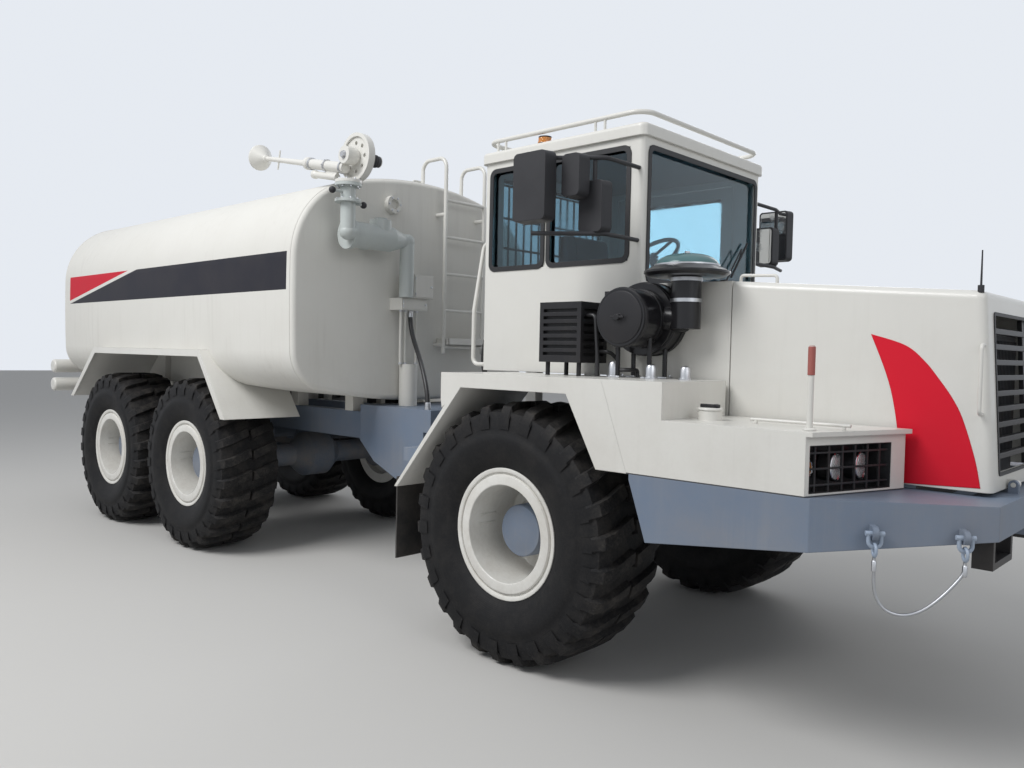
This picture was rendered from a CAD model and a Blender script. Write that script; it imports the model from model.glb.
"""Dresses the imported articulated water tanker: finishes, tyres, glass, pipework, trim and cords.

Everything is in metres in the truck's own frame: +X forward, +Y to the driver's left, +Z up, with
the origin on the ground at the middle of the overall length and width. Places along the truck are
given from the front axle, as in the construction, and `ahead()` turns them into the frame.
"""

from __future__ import annotations

import logging
import math
from dataclasses import dataclass
from enum import Enum
from functools import lru_cache
from typing import Iterable, Sequence

import bmesh
import bpy
from mathutils import Matrix, Vector


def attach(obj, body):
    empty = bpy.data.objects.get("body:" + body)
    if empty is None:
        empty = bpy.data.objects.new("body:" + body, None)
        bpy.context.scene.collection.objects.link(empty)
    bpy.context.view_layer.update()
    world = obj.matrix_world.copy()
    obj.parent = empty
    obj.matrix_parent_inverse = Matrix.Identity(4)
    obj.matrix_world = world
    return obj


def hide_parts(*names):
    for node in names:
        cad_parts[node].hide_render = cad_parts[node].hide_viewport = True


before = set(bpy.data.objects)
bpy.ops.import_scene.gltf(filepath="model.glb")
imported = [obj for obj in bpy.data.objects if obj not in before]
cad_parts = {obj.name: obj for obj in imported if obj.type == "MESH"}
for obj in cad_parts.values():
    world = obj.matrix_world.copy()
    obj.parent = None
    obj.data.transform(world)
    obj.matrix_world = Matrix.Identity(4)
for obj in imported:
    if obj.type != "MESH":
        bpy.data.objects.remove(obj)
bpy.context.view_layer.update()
log = logging.getLogger("water_tanker")

Point = tuple[float, float, float]
Colour = tuple[float, float, float]
Outline = tuple[tuple[float, float], ...]

FRONT_AXLE_X = 2.525
WHEEL_AXLES = {"front": 0.0, "mid": -4.11, "rear": -5.83}
WHEEL_Y = 1.14
AXLE_Z = 0.795

GAP = 0.0002  # how far trim lies in or off the face that it sits on
LIFT = 0.0003  # how far lamps, lids and doors stand off their seats
CORNER_STEPS = 5
SHARP_ANGLE = math.radians(34)
BEVEL_ANGLE = math.radians(40)


def ahead(distance: float) -> float:
    """Return the X place that lies this far ahead of the front axle."""
    return FRONT_AXLE_X + distance


def spot(x: float, y: float, z: float) -> Point:
    """Return the place in the frame of a point whose X is given from the front axle."""
    return (ahead(x), y, z)


class Side(Enum):
    """The two sides of the truck, valued by the sign of Y."""

    RIGHT = -1
    LEFT = 1


class Slot(Enum):
    """Material slots of the construction's record."""

    BODY = "body_paint"
    TANK = "tank_paint"
    FRAME = "frame_paint"
    RIM = "rim_paint"
    BLACK = "black_paint"
    ENGINE = "engine"
    STEEL = "bare_steel"
    TYRE = "tyre"
    FLAP = "flap_rubber"
    PLASTIC = "black_plastic"
    CLOTH = "seat_fabric"
    GLASS = "glass"
    LAMP = "lamp"
    REAR_LAMP = "rear_lamp"
    ROPE = "wire_rope"
    HOSE = "hose_rubber"


# Shader groups: effects that several finishes share


class Graph:
    """A short way to lay out nodes in a material or a group."""

    def __init__(self, tree: bpy.types.NodeTree) -> None:
        """Start on a node tree.

        Args:
            tree: The material's or the group's tree.
        """
        self.tree = tree
        self.column = 0

    def fill(self, node: bpy.types.Node, **inputs: object) -> None:
        """Link or set a node's inputs.

        Args:
            node: The node.
            inputs: Sockets or values by input name, with underscores for spaces, or by number.
        """
        for key, value in inputs.items():
            name = key.replace("_", " ")
            socket = node.inputs[int(name)] if name.isdigit() else node.inputs[name]
            if isinstance(value, bpy.types.NodeSocket):
                self.tree.links.new(value, socket)
            else:
                socket.default_value = value

    def node(self, kind: str, **settings: object) -> bpy.types.Node:
        """Add a node and set its properties and its inputs.

        Args:
            kind: The node's type name, such as ShaderNodeMath.
            settings: Properties by name, and inputs as in_0=... or in_Name=...

        Returns:
            The new node.
        """
        node = self.tree.nodes.new(kind)
        node.location = (self.column * 190, 0)
        self.column += 1
        for key, value in settings.items():
            if not key.startswith("in_"):
                setattr(node, key, value)
        self.fill(node, **{key[3:]: value for key, value in settings.items() if key.startswith("in_")})
        return node

    def math(self, operation: str, first: object, second: object = 0.0, clamp: bool = False) -> bpy.types.NodeSocket:
        """Add a math node and return its value."""
        return self.node("ShaderNodeMath", operation=operation, use_clamp=clamp, in_0=first, in_1=second).outputs[0]

    def span(
        self, value: object, low: float, high: float, to: tuple[float, float] = (0.0, 1.0)
    ) -> bpy.types.NodeSocket:
        """Map a value from a range to another, clamped."""
        node = self.node("ShaderNodeMapRange", in_Value=value, in_1=low, in_2=high, in_3=to[0], in_4=to[1])
        return node.outputs[0]

    def noise(self, vector: object, scale: float, detail: float = 3.0, roughness: float = 0.55) -> bpy.types.NodeSocket:
        """Add a noise texture and return its factor."""
        return self.node(
            "ShaderNodeTexNoise", in_Vector=vector, in_Scale=scale, in_Detail=detail, in_Roughness=roughness
        ).outputs["Fac"]

    def mix(self, factor: object, first: object, second: object) -> bpy.types.NodeSocket:
        """Mix two colours and return the result."""
        return self.node("ShaderNodeMix", data_type="RGBA", in_0=factor, in_6=first, in_7=second).outputs[2]

    def place(self) -> bpy.types.NodeSocket:
        """Return the object's own coordinates."""
        return self.node("ShaderNodeTexCoord").outputs["Object"]

    def parts(self, vector: object) -> tuple[bpy.types.NodeSocket, ...]:
        """Split a vector into X, Y and Z."""
        return tuple(self.node("ShaderNodeSeparateXYZ", in_0=vector).outputs)

    def bump(self, height: object, strength: float, distance: float) -> bpy.types.NodeSocket:
        """Turn a height into a normal."""
        return self.node("ShaderNodeBump", in_Height=height, in_Strength=strength, in_Distance=distance).outputs[0]


def opaque(colour: Colour) -> tuple[float, float, float, float]:
    """Return a colour with full alpha."""
    return (*colour, 1.0)


def new_group(name: str, inputs: Iterable[tuple], outputs: Iterable[tuple]) -> tuple[bpy.types.NodeTree, Graph, dict]:
    """Make an empty shader group with named sockets.

    Args:
        name: The group's name.
        inputs: Name, socket type and default value of each input.
        outputs: Name and socket type of each output.

    Returns:
        The group, its graph and the group's inputs by name.
    """
    tree = bpy.data.node_groups.new(name, "ShaderNodeTree")
    for label, kind, default in inputs:
        socket = tree.interface.new_socket(label, in_out="INPUT", socket_type=kind)
        socket.default_value = default
    for label, kind in outputs:
        tree.interface.new_socket(label, in_out="OUTPUT", socket_type=kind)
    graph = Graph(tree)
    entry = graph.node("NodeGroupInput")
    return tree, graph, {socket.name: socket for socket in entry.outputs}


def close_group(graph: Graph, **outputs: object) -> None:
    """Link the group's results to its outputs, named with underscores for spaces."""
    graph.node("NodeGroupOutput", **{f"in_{name}": value for name, value in outputs.items()})


@lru_cache(maxsize=None)
def dust_group() -> bpy.types.NodeTree:
    """Dry dust that settles low down and in soft patches.

    Returns:
        A group with Colour and Roughness outputs.
    """
    tree, g, entry = new_group(
        "road_dust",
        [
            ("Colour", "NodeSocketColor", (0.7, 0.7, 0.7, 1)),
            ("Dust", "NodeSocketColor", (0.32, 0.27, 0.21, 1)),
            ("Amount", "NodeSocketFloat", 0.3),
            ("Clean Above", "NodeSocketFloat", 2.0),
            ("Roughness", "NodeSocketFloat", 0.4),
        ],
        [("Colour", "NodeSocketColor"), ("Roughness", "NodeSocketFloat")],
    )
    place = g.place()
    height = g.parts(place)[2]
    low = g.math("SUBTRACT", 1.0, g.math("DIVIDE", height, entry["Clean Above"]), clamp=True)
    patches = g.span(g.noise(place, 2.3, 5.0, 0.62), 0.38, 0.72)
    grit = g.span(g.noise(place, 46.0, 4.0, 0.7), 0.42, 0.75)
    film = g.math("MULTIPLY", g.math("ADD", g.math("MULTIPLY", low, 0.9), 0.16), patches)
    film = g.math("ADD", film, g.math("MULTIPLY", g.math("MULTIPLY", grit, low), 0.35))
    mask = g.math("MULTIPLY", film, entry["Amount"], clamp=True)
    colour = g.mix(mask, entry["Colour"], entry["Dust"])
    roughness = g.math("ADD", entry["Roughness"], g.math("MULTIPLY", mask, 0.45), clamp=True)
    close_group(g, Colour=colour, Roughness=roughness)
    return tree


@lru_cache(maxsize=None)
def streak_group() -> bpy.types.NodeTree:
    """Faint upright rain streaks and cloudy fading in a paint.

    Returns:
        A group with a Colour output.
    """
    tree, g, entry = new_group(
        "rain_streaks",
        [
            ("Colour", "NodeSocketColor", (0.7, 0.7, 0.7, 1)),
            ("Streak", "NodeSocketColor", (0.4, 0.38, 0.34, 1)),
            ("Amount", "NodeSocketFloat", 0.2),
        ],
        [("Colour", "NodeSocketColor")],
    )
    place = g.place()
    long_way = g.node("ShaderNodeMapping", in_Vector=place, in_Scale=(9.0, 9.0, 0.55)).outputs[0]
    lines = g.span(g.noise(long_way, 2.2, 5.0, 0.62), 0.52, 0.8)
    clouds = g.span(g.noise(place, 1.1, 3.0), 0.35, 0.75)
    mask = g.math("MULTIPLY", g.math("MULTIPLY", lines, clouds), entry["Amount"], clamp=True)
    faded = g.math("MULTIPLY", g.span(g.noise(place, 0.9, 4.0), 0.3, 0.7), entry["Amount"])
    colour = g.mix(mask, entry["Colour"], entry["Streak"])
    lighter = g.mix(g.math("MULTIPLY", faded, 0.25, clamp=True), colour, (0.86, 0.85, 0.82, 1))
    close_group(g, Colour=lighter)
    return tree


@lru_cache(maxsize=None)
def soft_edge_group() -> bpy.types.NodeTree:
    """Rounds a hard edge of the construction in the light, and finds where paint wears there.

    Returns:
        A group with a Normal and a Wear output.
    """
    tree, g, entry = new_group(
        "worn_edges",
        [("Wear", "NodeSocketFloat", 0.5)],
        [("Normal", "NodeSocketVector"), ("Wear", "NodeSocketFloat")],
    )
    rounded = g.node("ShaderNodeBevel", samples=4, in_Radius=0.006).outputs[0]
    flat = g.node("ShaderNodeNewGeometry").outputs["True Normal"]
    alike = g.node("ShaderNodeVectorMath", operation="DOT_PRODUCT", in_0=rounded, in_1=flat).outputs["Value"]
    edge = g.span(alike, 0.985, 0.90)
    chips = g.span(g.noise(g.place(), 38.0, 5.0, 0.7), 0.55, 0.66)
    wear = g.math("MULTIPLY", g.math("MULTIPLY", edge, chips), entry["Wear"], clamp=True)
    close_group(g, Normal=rounded, Wear=wear)
    return tree


@lru_cache(maxsize=None)
def grain_group() -> bpy.types.NodeTree:
    """A fine grain, as spray paint, cast iron or moulded plastic has.

    Returns:
        A group with a Normal output.
    """
    tree, g, entry = new_group(
        "fine_grain",
        [
            ("Scale", "NodeSocketFloat", 300.0),
            ("Depth", "NodeSocketFloat", 0.1),
            ("Normal", "NodeSocketVector", (0.0, 0.0, 0.0)),
        ],
        [("Normal", "NodeSocketVector")],
    )
    texture = g.node("ShaderNodeTexNoise", in_Vector=g.place(), in_Scale=entry["Scale"], in_Detail=2.0)
    bump = g.node(
        "ShaderNodeBump",
        in_Height=texture.outputs["Fac"],
        in_Strength=entry["Depth"],
        in_Distance=0.001,
        in_Normal=entry["Normal"],
    )
    close_group(g, Normal=bump.outputs[0])
    return tree


def use_group(graph: Graph, group: bpy.types.NodeTree, **inputs: object) -> bpy.types.Node:
    """Place a shader group in a material with its own values."""
    node = graph.node("ShaderNodeGroup", node_tree=group)
    graph.fill(node, **inputs)
    return node


def blank_material(name: str) -> tuple[bpy.types.Material, Graph, bpy.types.Node]:
    """Make a material with one Principled shader.

    Args:
        name: The material's name.

    Returns:
        The material, its graph and the shader.
    """
    material = bpy.data.materials.new(name)
    material.use_nodes = True
    material.node_tree.nodes.clear()
    graph = Graph(material.node_tree)
    shader = graph.node("ShaderNodeBsdfPrincipled")
    graph.node("ShaderNodeOutputMaterial", in_Surface=shader.outputs[0])
    return material, graph, shader


# Finishes


@dataclass(frozen=True)
class Finish:
    """What every finish has: a name and what feeds its shader."""

    name: str

    def inputs(self, graph: Graph) -> dict[str, object]:
        """Lay out the finish's nodes.

        Args:
            graph: The material's graph.

        Returns:
            What feeds each input of the shader, by the input's name with underscores for spaces.
        """
        raise NotImplementedError

    def build(self) -> bpy.types.Material:
        """Make the material."""
        material, graph, shader = blank_material(self.name)
        graph.fill(shader, **self.inputs(graph))
        return material


@lru_cache(maxsize=None)
def material_of(finish: Finish) -> bpy.types.Material:
    """Return a finish's material, made once."""
    return finish.build()


@dataclass(frozen=True)
class Enamel(Finish):
    """Sprayed enamel with dust, rain streaks and chipped edges."""

    colour: Colour = (0.70, 0.69, 0.65)
    roughness: float = 0.36
    coat: float = 0.25
    coat_roughness: float = 0.12
    dust: float = 0.30
    clean_above: float = 2.2
    streaks: float = 0.20
    wear: float = 0.30
    primer: Colour = (0.20, 0.19, 0.18)
    gloss: float = 0.4
    grain_scale: float = 160.0
    grain_depth: float = 0.05

    def mark(self, graph: Graph, colour: bpy.types.NodeSocket) -> bpy.types.NodeSocket:
        """Return the paint's colour with what is drawn on it, which plain enamel has none of."""
        return colour

    def inputs(self, graph: Graph) -> dict[str, object]:
        """Lay paint with its streaks, chips, dust and grain."""
        edges = use_group(graph, soft_edge_group(), Wear=self.wear)
        streaked = use_group(graph, streak_group(), Colour=opaque(self.colour), Amount=self.streaks)
        chipped = graph.mix(edges.outputs["Wear"], streaked.outputs["Colour"], opaque(self.primer))
        dusty = use_group(
            graph,
            dust_group(),
            Colour=self.mark(graph, chipped),
            Amount=self.dust,
            Clean_Above=self.clean_above,
            Roughness=self.roughness,
        )
        grain = use_group(
            graph, grain_group(), Scale=self.grain_scale, Depth=self.grain_depth, Normal=edges.outputs["Normal"]
        )
        return dict(
            Base_Color=dusty.outputs["Colour"],
            Roughness=dusty.outputs["Roughness"],
            Normal=grain.outputs["Normal"],
            Coat_Weight=self.coat,
            Coat_Roughness=self.coat_roughness,
            Specular_IOR_Level=self.gloss,
        )


@dataclass(frozen=True)
class StripedEnamel(Enamel):
    """The tank's enamel with a black band along each side that ends in a red wedge."""

    black: Colour = (0.022, 0.022, 0.03)
    red: Colour = (0.56, 0.010, 0.030)
    band: tuple[float, float] = (2.355, 2.66)
    front_end: float = -2.45
    rear_end: float = -7.06
    red_tip: float = -5.25
    seam: float = 0.035
    side_from: float = 1.25

    def mark(self, graph: Graph, colour: bpy.types.NodeSocket) -> bpy.types.NodeSocket:
        """Return the paint's colour with the band and the wedge drawn over it in X and Z."""
        x, y, z = graph.parts(graph.place())
        low, high = self.band
        rear = ahead(self.rear_end)
        band = graph.math("GREATER_THAN", graph.math("ABSOLUTE", y), self.side_from)
        for operation, place, limit in (
            ("GREATER_THAN", z, low), ("LESS_THAN", z, high),
            ("GREATER_THAN", x, rear), ("LESS_THAN", x, ahead(self.front_end)),
        ):
            band = graph.math("MULTIPLY", band, graph.math(operation, place, limit))
        slope = (high - low) / (self.red_tip - self.rear_end)
        diagonal = graph.math("ADD", graph.math("MULTIPLY", graph.math("SUBTRACT", x, rear), slope), low)
        over = graph.math("SUBTRACT", z, diagonal)
        red = graph.math("GREATER_THAN", over, self.seam)
        bare = graph.math("MULTIPLY", graph.math("GREATER_THAN", over, 0.0), graph.math("SUBTRACT", 1.0, red))
        drawn = graph.mix(bare, graph.mix(red, opaque(self.black), opaque(self.red)), colour)
        return graph.mix(band, colour, drawn)


@dataclass(frozen=True)
class SeamedEnamel(Enamel):
    """The side boxes' enamel, with the dark joint where they stand on the bumper."""

    joint: float = 1.2765
    shadow: Colour = (0.05, 0.055, 0.065)

    def mark(self, graph: Graph, colour: bpy.types.NodeSocket) -> bpy.types.NodeSocket:
        """Return the paint's colour, darkened below the joint's height."""
        height = graph.parts(graph.place())[2]
        return graph.mix(graph.math("LESS_THAN", height, self.joint), colour, opaque(self.shadow))


@dataclass(frozen=True)
class TyreRubber(Finish):
    """Worn tyre rubber, greyed by dust on the tread and in the sidewall's rings."""

    colour: Colour = (0.009, 0.009, 0.010)
    dust: Colour = (0.10, 0.09, 0.08)
    tread_from: float = 0.70
    tread_blend: float = 0.09
    ring_pitch: float = 620.0

    def inputs(self, graph: Graph) -> dict[str, object]:
        """Lay dust and rings about the wheel's own axis."""
        place = graph.place()
        x, _, z = graph.parts(place)
        radius = graph.math("SQRT", graph.math("ADD", graph.math("MULTIPLY", x, x), graph.math("MULTIPLY", z, z)))
        tread = graph.span(radius, self.tread_from, self.tread_from + self.tread_blend)
        scuffs = graph.span(graph.noise(place, 9.0, 6.0, 0.68), 0.45, 0.75)
        fine = graph.span(graph.noise(place, 70.0, 4.0, 0.7), 0.45, 0.72)
        film = graph.math("ADD", graph.math("MULTIPLY", tread, 0.55), 0.16)
        spots = graph.math("ADD", graph.math("MULTIPLY", scuffs, 0.7), graph.math("MULTIPLY", fine, 0.35))
        mask = graph.math("MULTIPLY", film, spots, clamp=True)
        rings = graph.span(graph.math("SINE", graph.math("MULTIPLY", radius, self.ring_pitch)), -1.0, 1.0)
        wall = graph.math("MULTIPLY", graph.math("SUBTRACT", 1.0, tread), rings)
        height = graph.math("ADD", graph.math("MULTIPLY", wall, 0.25), graph.math("MULTIPLY", fine, 0.5))
        return dict(
            Base_Color=graph.mix(mask, opaque(self.colour), opaque(self.dust)),
            Roughness=graph.span(mask, 0.0, 1.0, (0.62, 0.95)),
            Normal=graph.bump(height, 0.35, 0.002),
            Specular_IOR_Level=0.2,
        )


@dataclass(frozen=True)
class Rubber(Finish):
    """Matt sheet or hose rubber with a little dust."""

    colour: Colour = (0.022, 0.022, 0.023)
    roughness: float = 0.6
    dust: float = 0.35
    dust_colour: Colour = (0.15, 0.13, 0.11)
    clean_above: float = 1.8

    def inputs(self, graph: Graph) -> dict[str, object]:
        """Lay dust over the rubber."""
        dusty = use_group(
            graph,
            dust_group(),
            Colour=opaque(self.colour),
            Dust=opaque(self.dust_colour),
            Amount=self.dust,
            Clean_Above=self.clean_above,
            Roughness=self.roughness,
        )
        grain = use_group(graph, grain_group(), Scale=240.0, Depth=0.25)
        return dict(
            Base_Color=dusty.outputs["Colour"],
            Roughness=dusty.outputs["Roughness"],
            Normal=grain.outputs["Normal"],
        )


@dataclass(frozen=True)
class Plastic(Finish):
    """Moulded plastic with a fine leather-like grain."""

    colour: Colour = (0.025, 0.025, 0.028)
    roughness: float = 0.45
    grain: float = 0.3
    gloss: float = 0.3

    def inputs(self, graph: Graph) -> dict[str, object]:
        """Fade the plastic in patches."""
        edges = use_group(graph, soft_edge_group(), Wear=0.0)
        fade = graph.span(graph.noise(graph.place(), 3.0, 4.0), 0.35, 0.75)
        faded = tuple(min(1.0, value * 1.7 + 0.012) for value in self.colour)
        grain = use_group(graph, grain_group(), Scale=520.0, Depth=self.grain, Normal=edges.outputs["Normal"])
        return dict(
            Base_Color=graph.mix(graph.math("MULTIPLY", fade, 0.5), opaque(self.colour), opaque(faded)),
            Roughness=graph.span(fade, 0.0, 1.0, (self.roughness, self.roughness + 0.15)),
            Normal=grain.outputs["Normal"],
            Specular_IOR_Level=self.gloss,
        )


@dataclass(frozen=True)
class Metal(Finish):
    """Bare metal: galvanised, cast or chromed by its values."""

    colour: Colour = (0.55, 0.56, 0.58)
    roughness: float = 0.32
    metallic: float = 1.0
    stain: Colour = (0.16, 0.13, 0.11)
    stained: float = 0.3
    grain: float = 0.2

    def inputs(self, graph: Graph) -> dict[str, object]:
        """Stain the metal in spots."""
        spots = graph.span(graph.noise(graph.place(), 14.0, 6.0, 0.66), 0.48, 0.74)
        mask = graph.math("MULTIPLY", spots, self.stained, clamp=True)
        grain = use_group(graph, grain_group(), Scale=210.0, Depth=self.grain)
        return dict(
            Base_Color=graph.mix(mask, opaque(self.colour), opaque(self.stain)),
            Roughness=graph.span(spots, 0.0, 1.0, (self.roughness, self.roughness + 0.3)),
            Normal=grain.outputs["Normal"],
            Metallic=self.metallic,
        )


@dataclass(frozen=True)
class TintedGlass(Finish):
    """Tinted safety glass with a light film of dust."""

    colour: Colour = (0.36, 0.51, 0.58)
    clear: float = 0.015
    film: float = 0.10
    ior: float = 1.45

    def inputs(self, graph: Graph) -> dict[str, object]:
        """Smear the glass with dust."""
        smear = graph.span(graph.noise(graph.place(), 5.0, 5.0, 0.6), 0.4, 0.8)
        return dict(
            Base_Color=opaque(self.colour),
            Roughness=graph.span(smear, 0.0, 1.0, (self.clear, self.clear + self.film)),
            Transmission_Weight=1.0,
            IOR=self.ior,
        )


@dataclass(frozen=True)
class Lens(Finish):
    """A ribbed lamp lens in a clear or coloured plastic."""

    colour: Colour = (0.9, 0.9, 0.9)
    ribs: float = 260.0
    through: float = 0.7
    roughness: float = 0.08
    coat: float = 0.6

    def inputs(self, graph: Graph) -> dict[str, object]:
        """Rib the lens both ways."""
        x, y, z = graph.parts(graph.place())
        wave = graph.math("SINE", graph.math("MULTIPLY", graph.math("ADD", x, y), self.ribs))
        cross = graph.math("SINE", graph.math("MULTIPLY", z, self.ribs))
        return dict(
            Base_Color=opaque(self.colour),
            Roughness=self.roughness,
            Normal=graph.bump(graph.math("MULTIPLY", wave, cross), 0.5, 0.002),
            Transmission_Weight=self.through,
            Coat_Weight=self.coat,
        )


@dataclass(frozen=True)
class SeatCloth(Finish):
    """Woven seat cloth with two threads that cross."""

    colour: Colour = (0.045, 0.047, 0.055)
    thread: Colour = (0.09, 0.095, 0.11)
    pitch: float = 900.0

    def inputs(self, graph: Graph) -> dict[str, object]:
        """Weave the two threads."""
        x, y, z = graph.parts(graph.place())
        warp = graph.math("SINE", graph.math("MULTIPLY", graph.math("ADD", x, z), self.pitch))
        weft = graph.math("SINE", graph.math("MULTIPLY", y, self.pitch))
        weave = graph.span(graph.math("MULTIPLY", warp, weft), -1.0, 1.0)
        return dict(
            Base_Color=graph.mix(weave, opaque(self.colour), opaque(self.thread)),
            Roughness=0.9,
            Normal=graph.bump(weave, 0.6, 0.001),
            Sheen_Weight=0.25,
        )


WHITE = Enamel("off_white_enamel")
TANK_WHITE = StripedEnamel(
    "tank_enamel", dust=0.26, streaks=0.32, roughness=0.5, coat=0.0, gloss=0.15,
)
RIM_WHITE = Enamel("rim_enamel", colour=(0.74, 0.73, 0.69), dust=0.35, clean_above=1.7, wear=0.5, roughness=0.45)
BLUE_GREY = Enamel(
    "blue_grey_enamel", colour=(0.145, 0.19, 0.265), roughness=0.45, coat=0.1, gloss=0.25,
    dust=0.42, wear=0.45, clean_above=1.8,
)
UNDER_GREY = Enamel("under_blue_grey_enamel", colour=(0.10, 0.13, 0.18), roughness=0.55, coat=0.0, dust=0.75, wear=0.4)
BLACK = Enamel(
    "satin_black_enamel", colour=(0.014, 0.014, 0.017), roughness=0.42, coat=0.1, gloss=0.25,
    dust=0.12, streaks=0.03, wear=0.3,
)
SIGNAL_RED = Enamel(
    "signal_red_enamel", colour=(0.66, 0.009, 0.028), roughness=0.5, coat=0.0, gloss=0.2,
    streaks=0.0, dust=0.04, wear=0.0,
)
FADED_RED = Enamel("faded_red_enamel", colour=(0.33, 0.06, 0.045), roughness=0.5, streaks=0.2, dust=0.2)
SHACKLE_BLUE = Enamel("pale_blue_enamel", colour=(0.30, 0.38, 0.50), roughness=0.4, dust=0.4, wear=0.6, clean_above=1.8)
GREEN_GREY = Enamel("green_grey_enamel", colour=(0.46, 0.50, 0.49), roughness=0.5, dust=0.3, streaks=0.45)
GLOSS_BLACK = Enamel(
    "gloss_black_enamel", colour=(0.009, 0.009, 0.011), roughness=0.3, coat=0.35, gloss=0.25,
    dust=0.06, streaks=0.0, wear=0.2,
)
BOX_WHITE = SeamedEnamel("box_enamel")
TYRE = TyreRubber("tyre_rubber")
FLAP = Rubber("flap_rubber", dust=0.7)
SEAL = Rubber("window_rubber", colour=(0.012, 0.012, 0.014), roughness=0.5, dust=0.1)
HOSE = Rubber("hose_rubber", colour=(0.018, 0.018, 0.02), roughness=0.42, dust=0.3)
PLASTIC = Plastic("black_plastic")
GREY_PLASTIC = Plastic("grey_plastic", colour=(0.20, 0.215, 0.235))
STEEL = Metal("galvanised_steel", stained=0.35)
CHROME = Metal("chromed_rod", colour=(0.72, 0.73, 0.75), roughness=0.12, stained=0.06, grain=0.02)
CASTING = Metal("painted_casting", colour=(0.06, 0.062, 0.068), roughness=0.6, metallic=0.2, stained=0.5)
WIRE = Metal("wire_rope_steel", colour=(0.45, 0.46, 0.48), roughness=0.4, stained=0.3)
MIRROR = Metal("mirror_silver", colour=(0.85, 0.87, 0.88), roughness=0.03, stained=0.03, grain=0.0)
GLASS = TintedGlass("tinted_glass")
BOWL = Plastic("smoked_bowl", colour=(0.075, 0.145, 0.15), roughness=0.10, grain=0.0)
CLEAR = Lens("clear_lens")
AMBER = Lens("amber_lens", colour=(0.85, 0.30, 0.03), through=0.35)
RED_LENS = Lens("red_lens", colour=(0.50, 0.02, 0.015), through=0.3)
CLOTH = SeatCloth("seat_cloth")


# Shapes


def rounded_path(points: Sequence[Point], radius: float, steps: int = 6) -> list[Vector]:
    """Round a path's corners with arcs.

    Args:
        points: The path's corners.
        radius: The arcs' radius, less where a run is too short for it.
        steps: Pieces in each arc.

    Returns:
        The path's points with the arcs put in.
    """
    corners = [Vector(point) for point in points]
    path = [corners[0]]
    for before, here, after in zip(corners, corners[1:], corners[2:]):
        incoming = (before - here).normalized()
        outgoing = (after - here).normalized()
        half = incoming.angle(outgoing) / 2
        reach = min(radius / math.tan(half), (before - here).length * 0.48, (after - here).length * 0.48)
        bend = reach * math.tan(half)
        centre = here + (incoming + outgoing).normalized() * (bend / math.sin(half))
        first = here + incoming * reach - centre
        last = here + outgoing * reach - centre
        turn = first.angle(last)
        axis = first.cross(last)
        for step in range(steps + 1):
            path.append(centre + Matrix.Rotation(turn * step / steps, 3, axis) @ first)
    path.append(corners[-1])
    return path


def smooth_line(points: Sequence[tuple[float, float]], steps: int = 6) -> list[tuple[float, float]]:
    """Return a line that curves through flat points.

    Args:
        points: The points to pass through.
        steps: Pieces between two points.

    Returns:
        The curved line's points.
    """
    padded = [points[0], *points, points[-1]]
    line = []
    for a, b, c, d in zip(padded, padded[1:], padded[2:], padded[3:]):
        for step in range(steps):
            t = step / steps
            line.append(tuple(
                0.5 * (2 * b[i] + (c[i] - a[i]) * t + (2 * a[i] - 5 * b[i] + 4 * c[i] - d[i]) * t * t
                       + (3 * b[i] - a[i] - 3 * c[i] + d[i]) * t ** 3)
                for i in (0, 1)
            ))
    line.append(tuple(points[-1]))
    return line


def round_frame(
    low: Sequence[float], high: Sequence[float], radius: float, grow: float = 0.0
) -> list[tuple[float, float]]:
    """Return a flat rectangle with round corners as a closed line.

    Args:
        low: The lower corner.
        high: The upper corner.
        radius: The corners' radius.
        grow: How far the rectangle is widened on each side.

    Returns:
        The line's points.
    """
    (x0, y0), (x1, y1) = [value - grow for value in low], [value + grow for value in high]
    line = []
    for cx, cy, start in (
        (x1 - radius, y1 - radius, 0), (x0 + radius, y1 - radius, 90),
        (x0 + radius, y0 + radius, 180), (x1 - radius, y0 + radius, 270),
    ):
        for step in range(CORNER_STEPS + 1):
            turn = math.radians(start + 90 * step / CORNER_STEPS)
            line.append((cx + radius * math.cos(turn), cy + radius * math.sin(turn)))
    return line


def round_places(centre: Point, axis: Point, radius: float, count: int, start: float = 0.0) -> list[Point]:
    """Return places evenly round an axis.

    Args:
        centre: The circle's middle.
        axis: The axis, along X, Y or Z.
        radius: The circle's radius.
        count: How many places.
        start: The first one's turn, as a share of the pitch.

    Returns:
        The places in order.
    """
    first, second = (index for index in range(3) if not axis[index])
    places = []
    for step in range(count):
        turn = 2 * math.pi * (step + start) / count
        place = list(centre)
        place[first] += radius * math.cos(turn)
        place[second] += radius * math.sin(turn)
        places.append(tuple(place))
    return places


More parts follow.
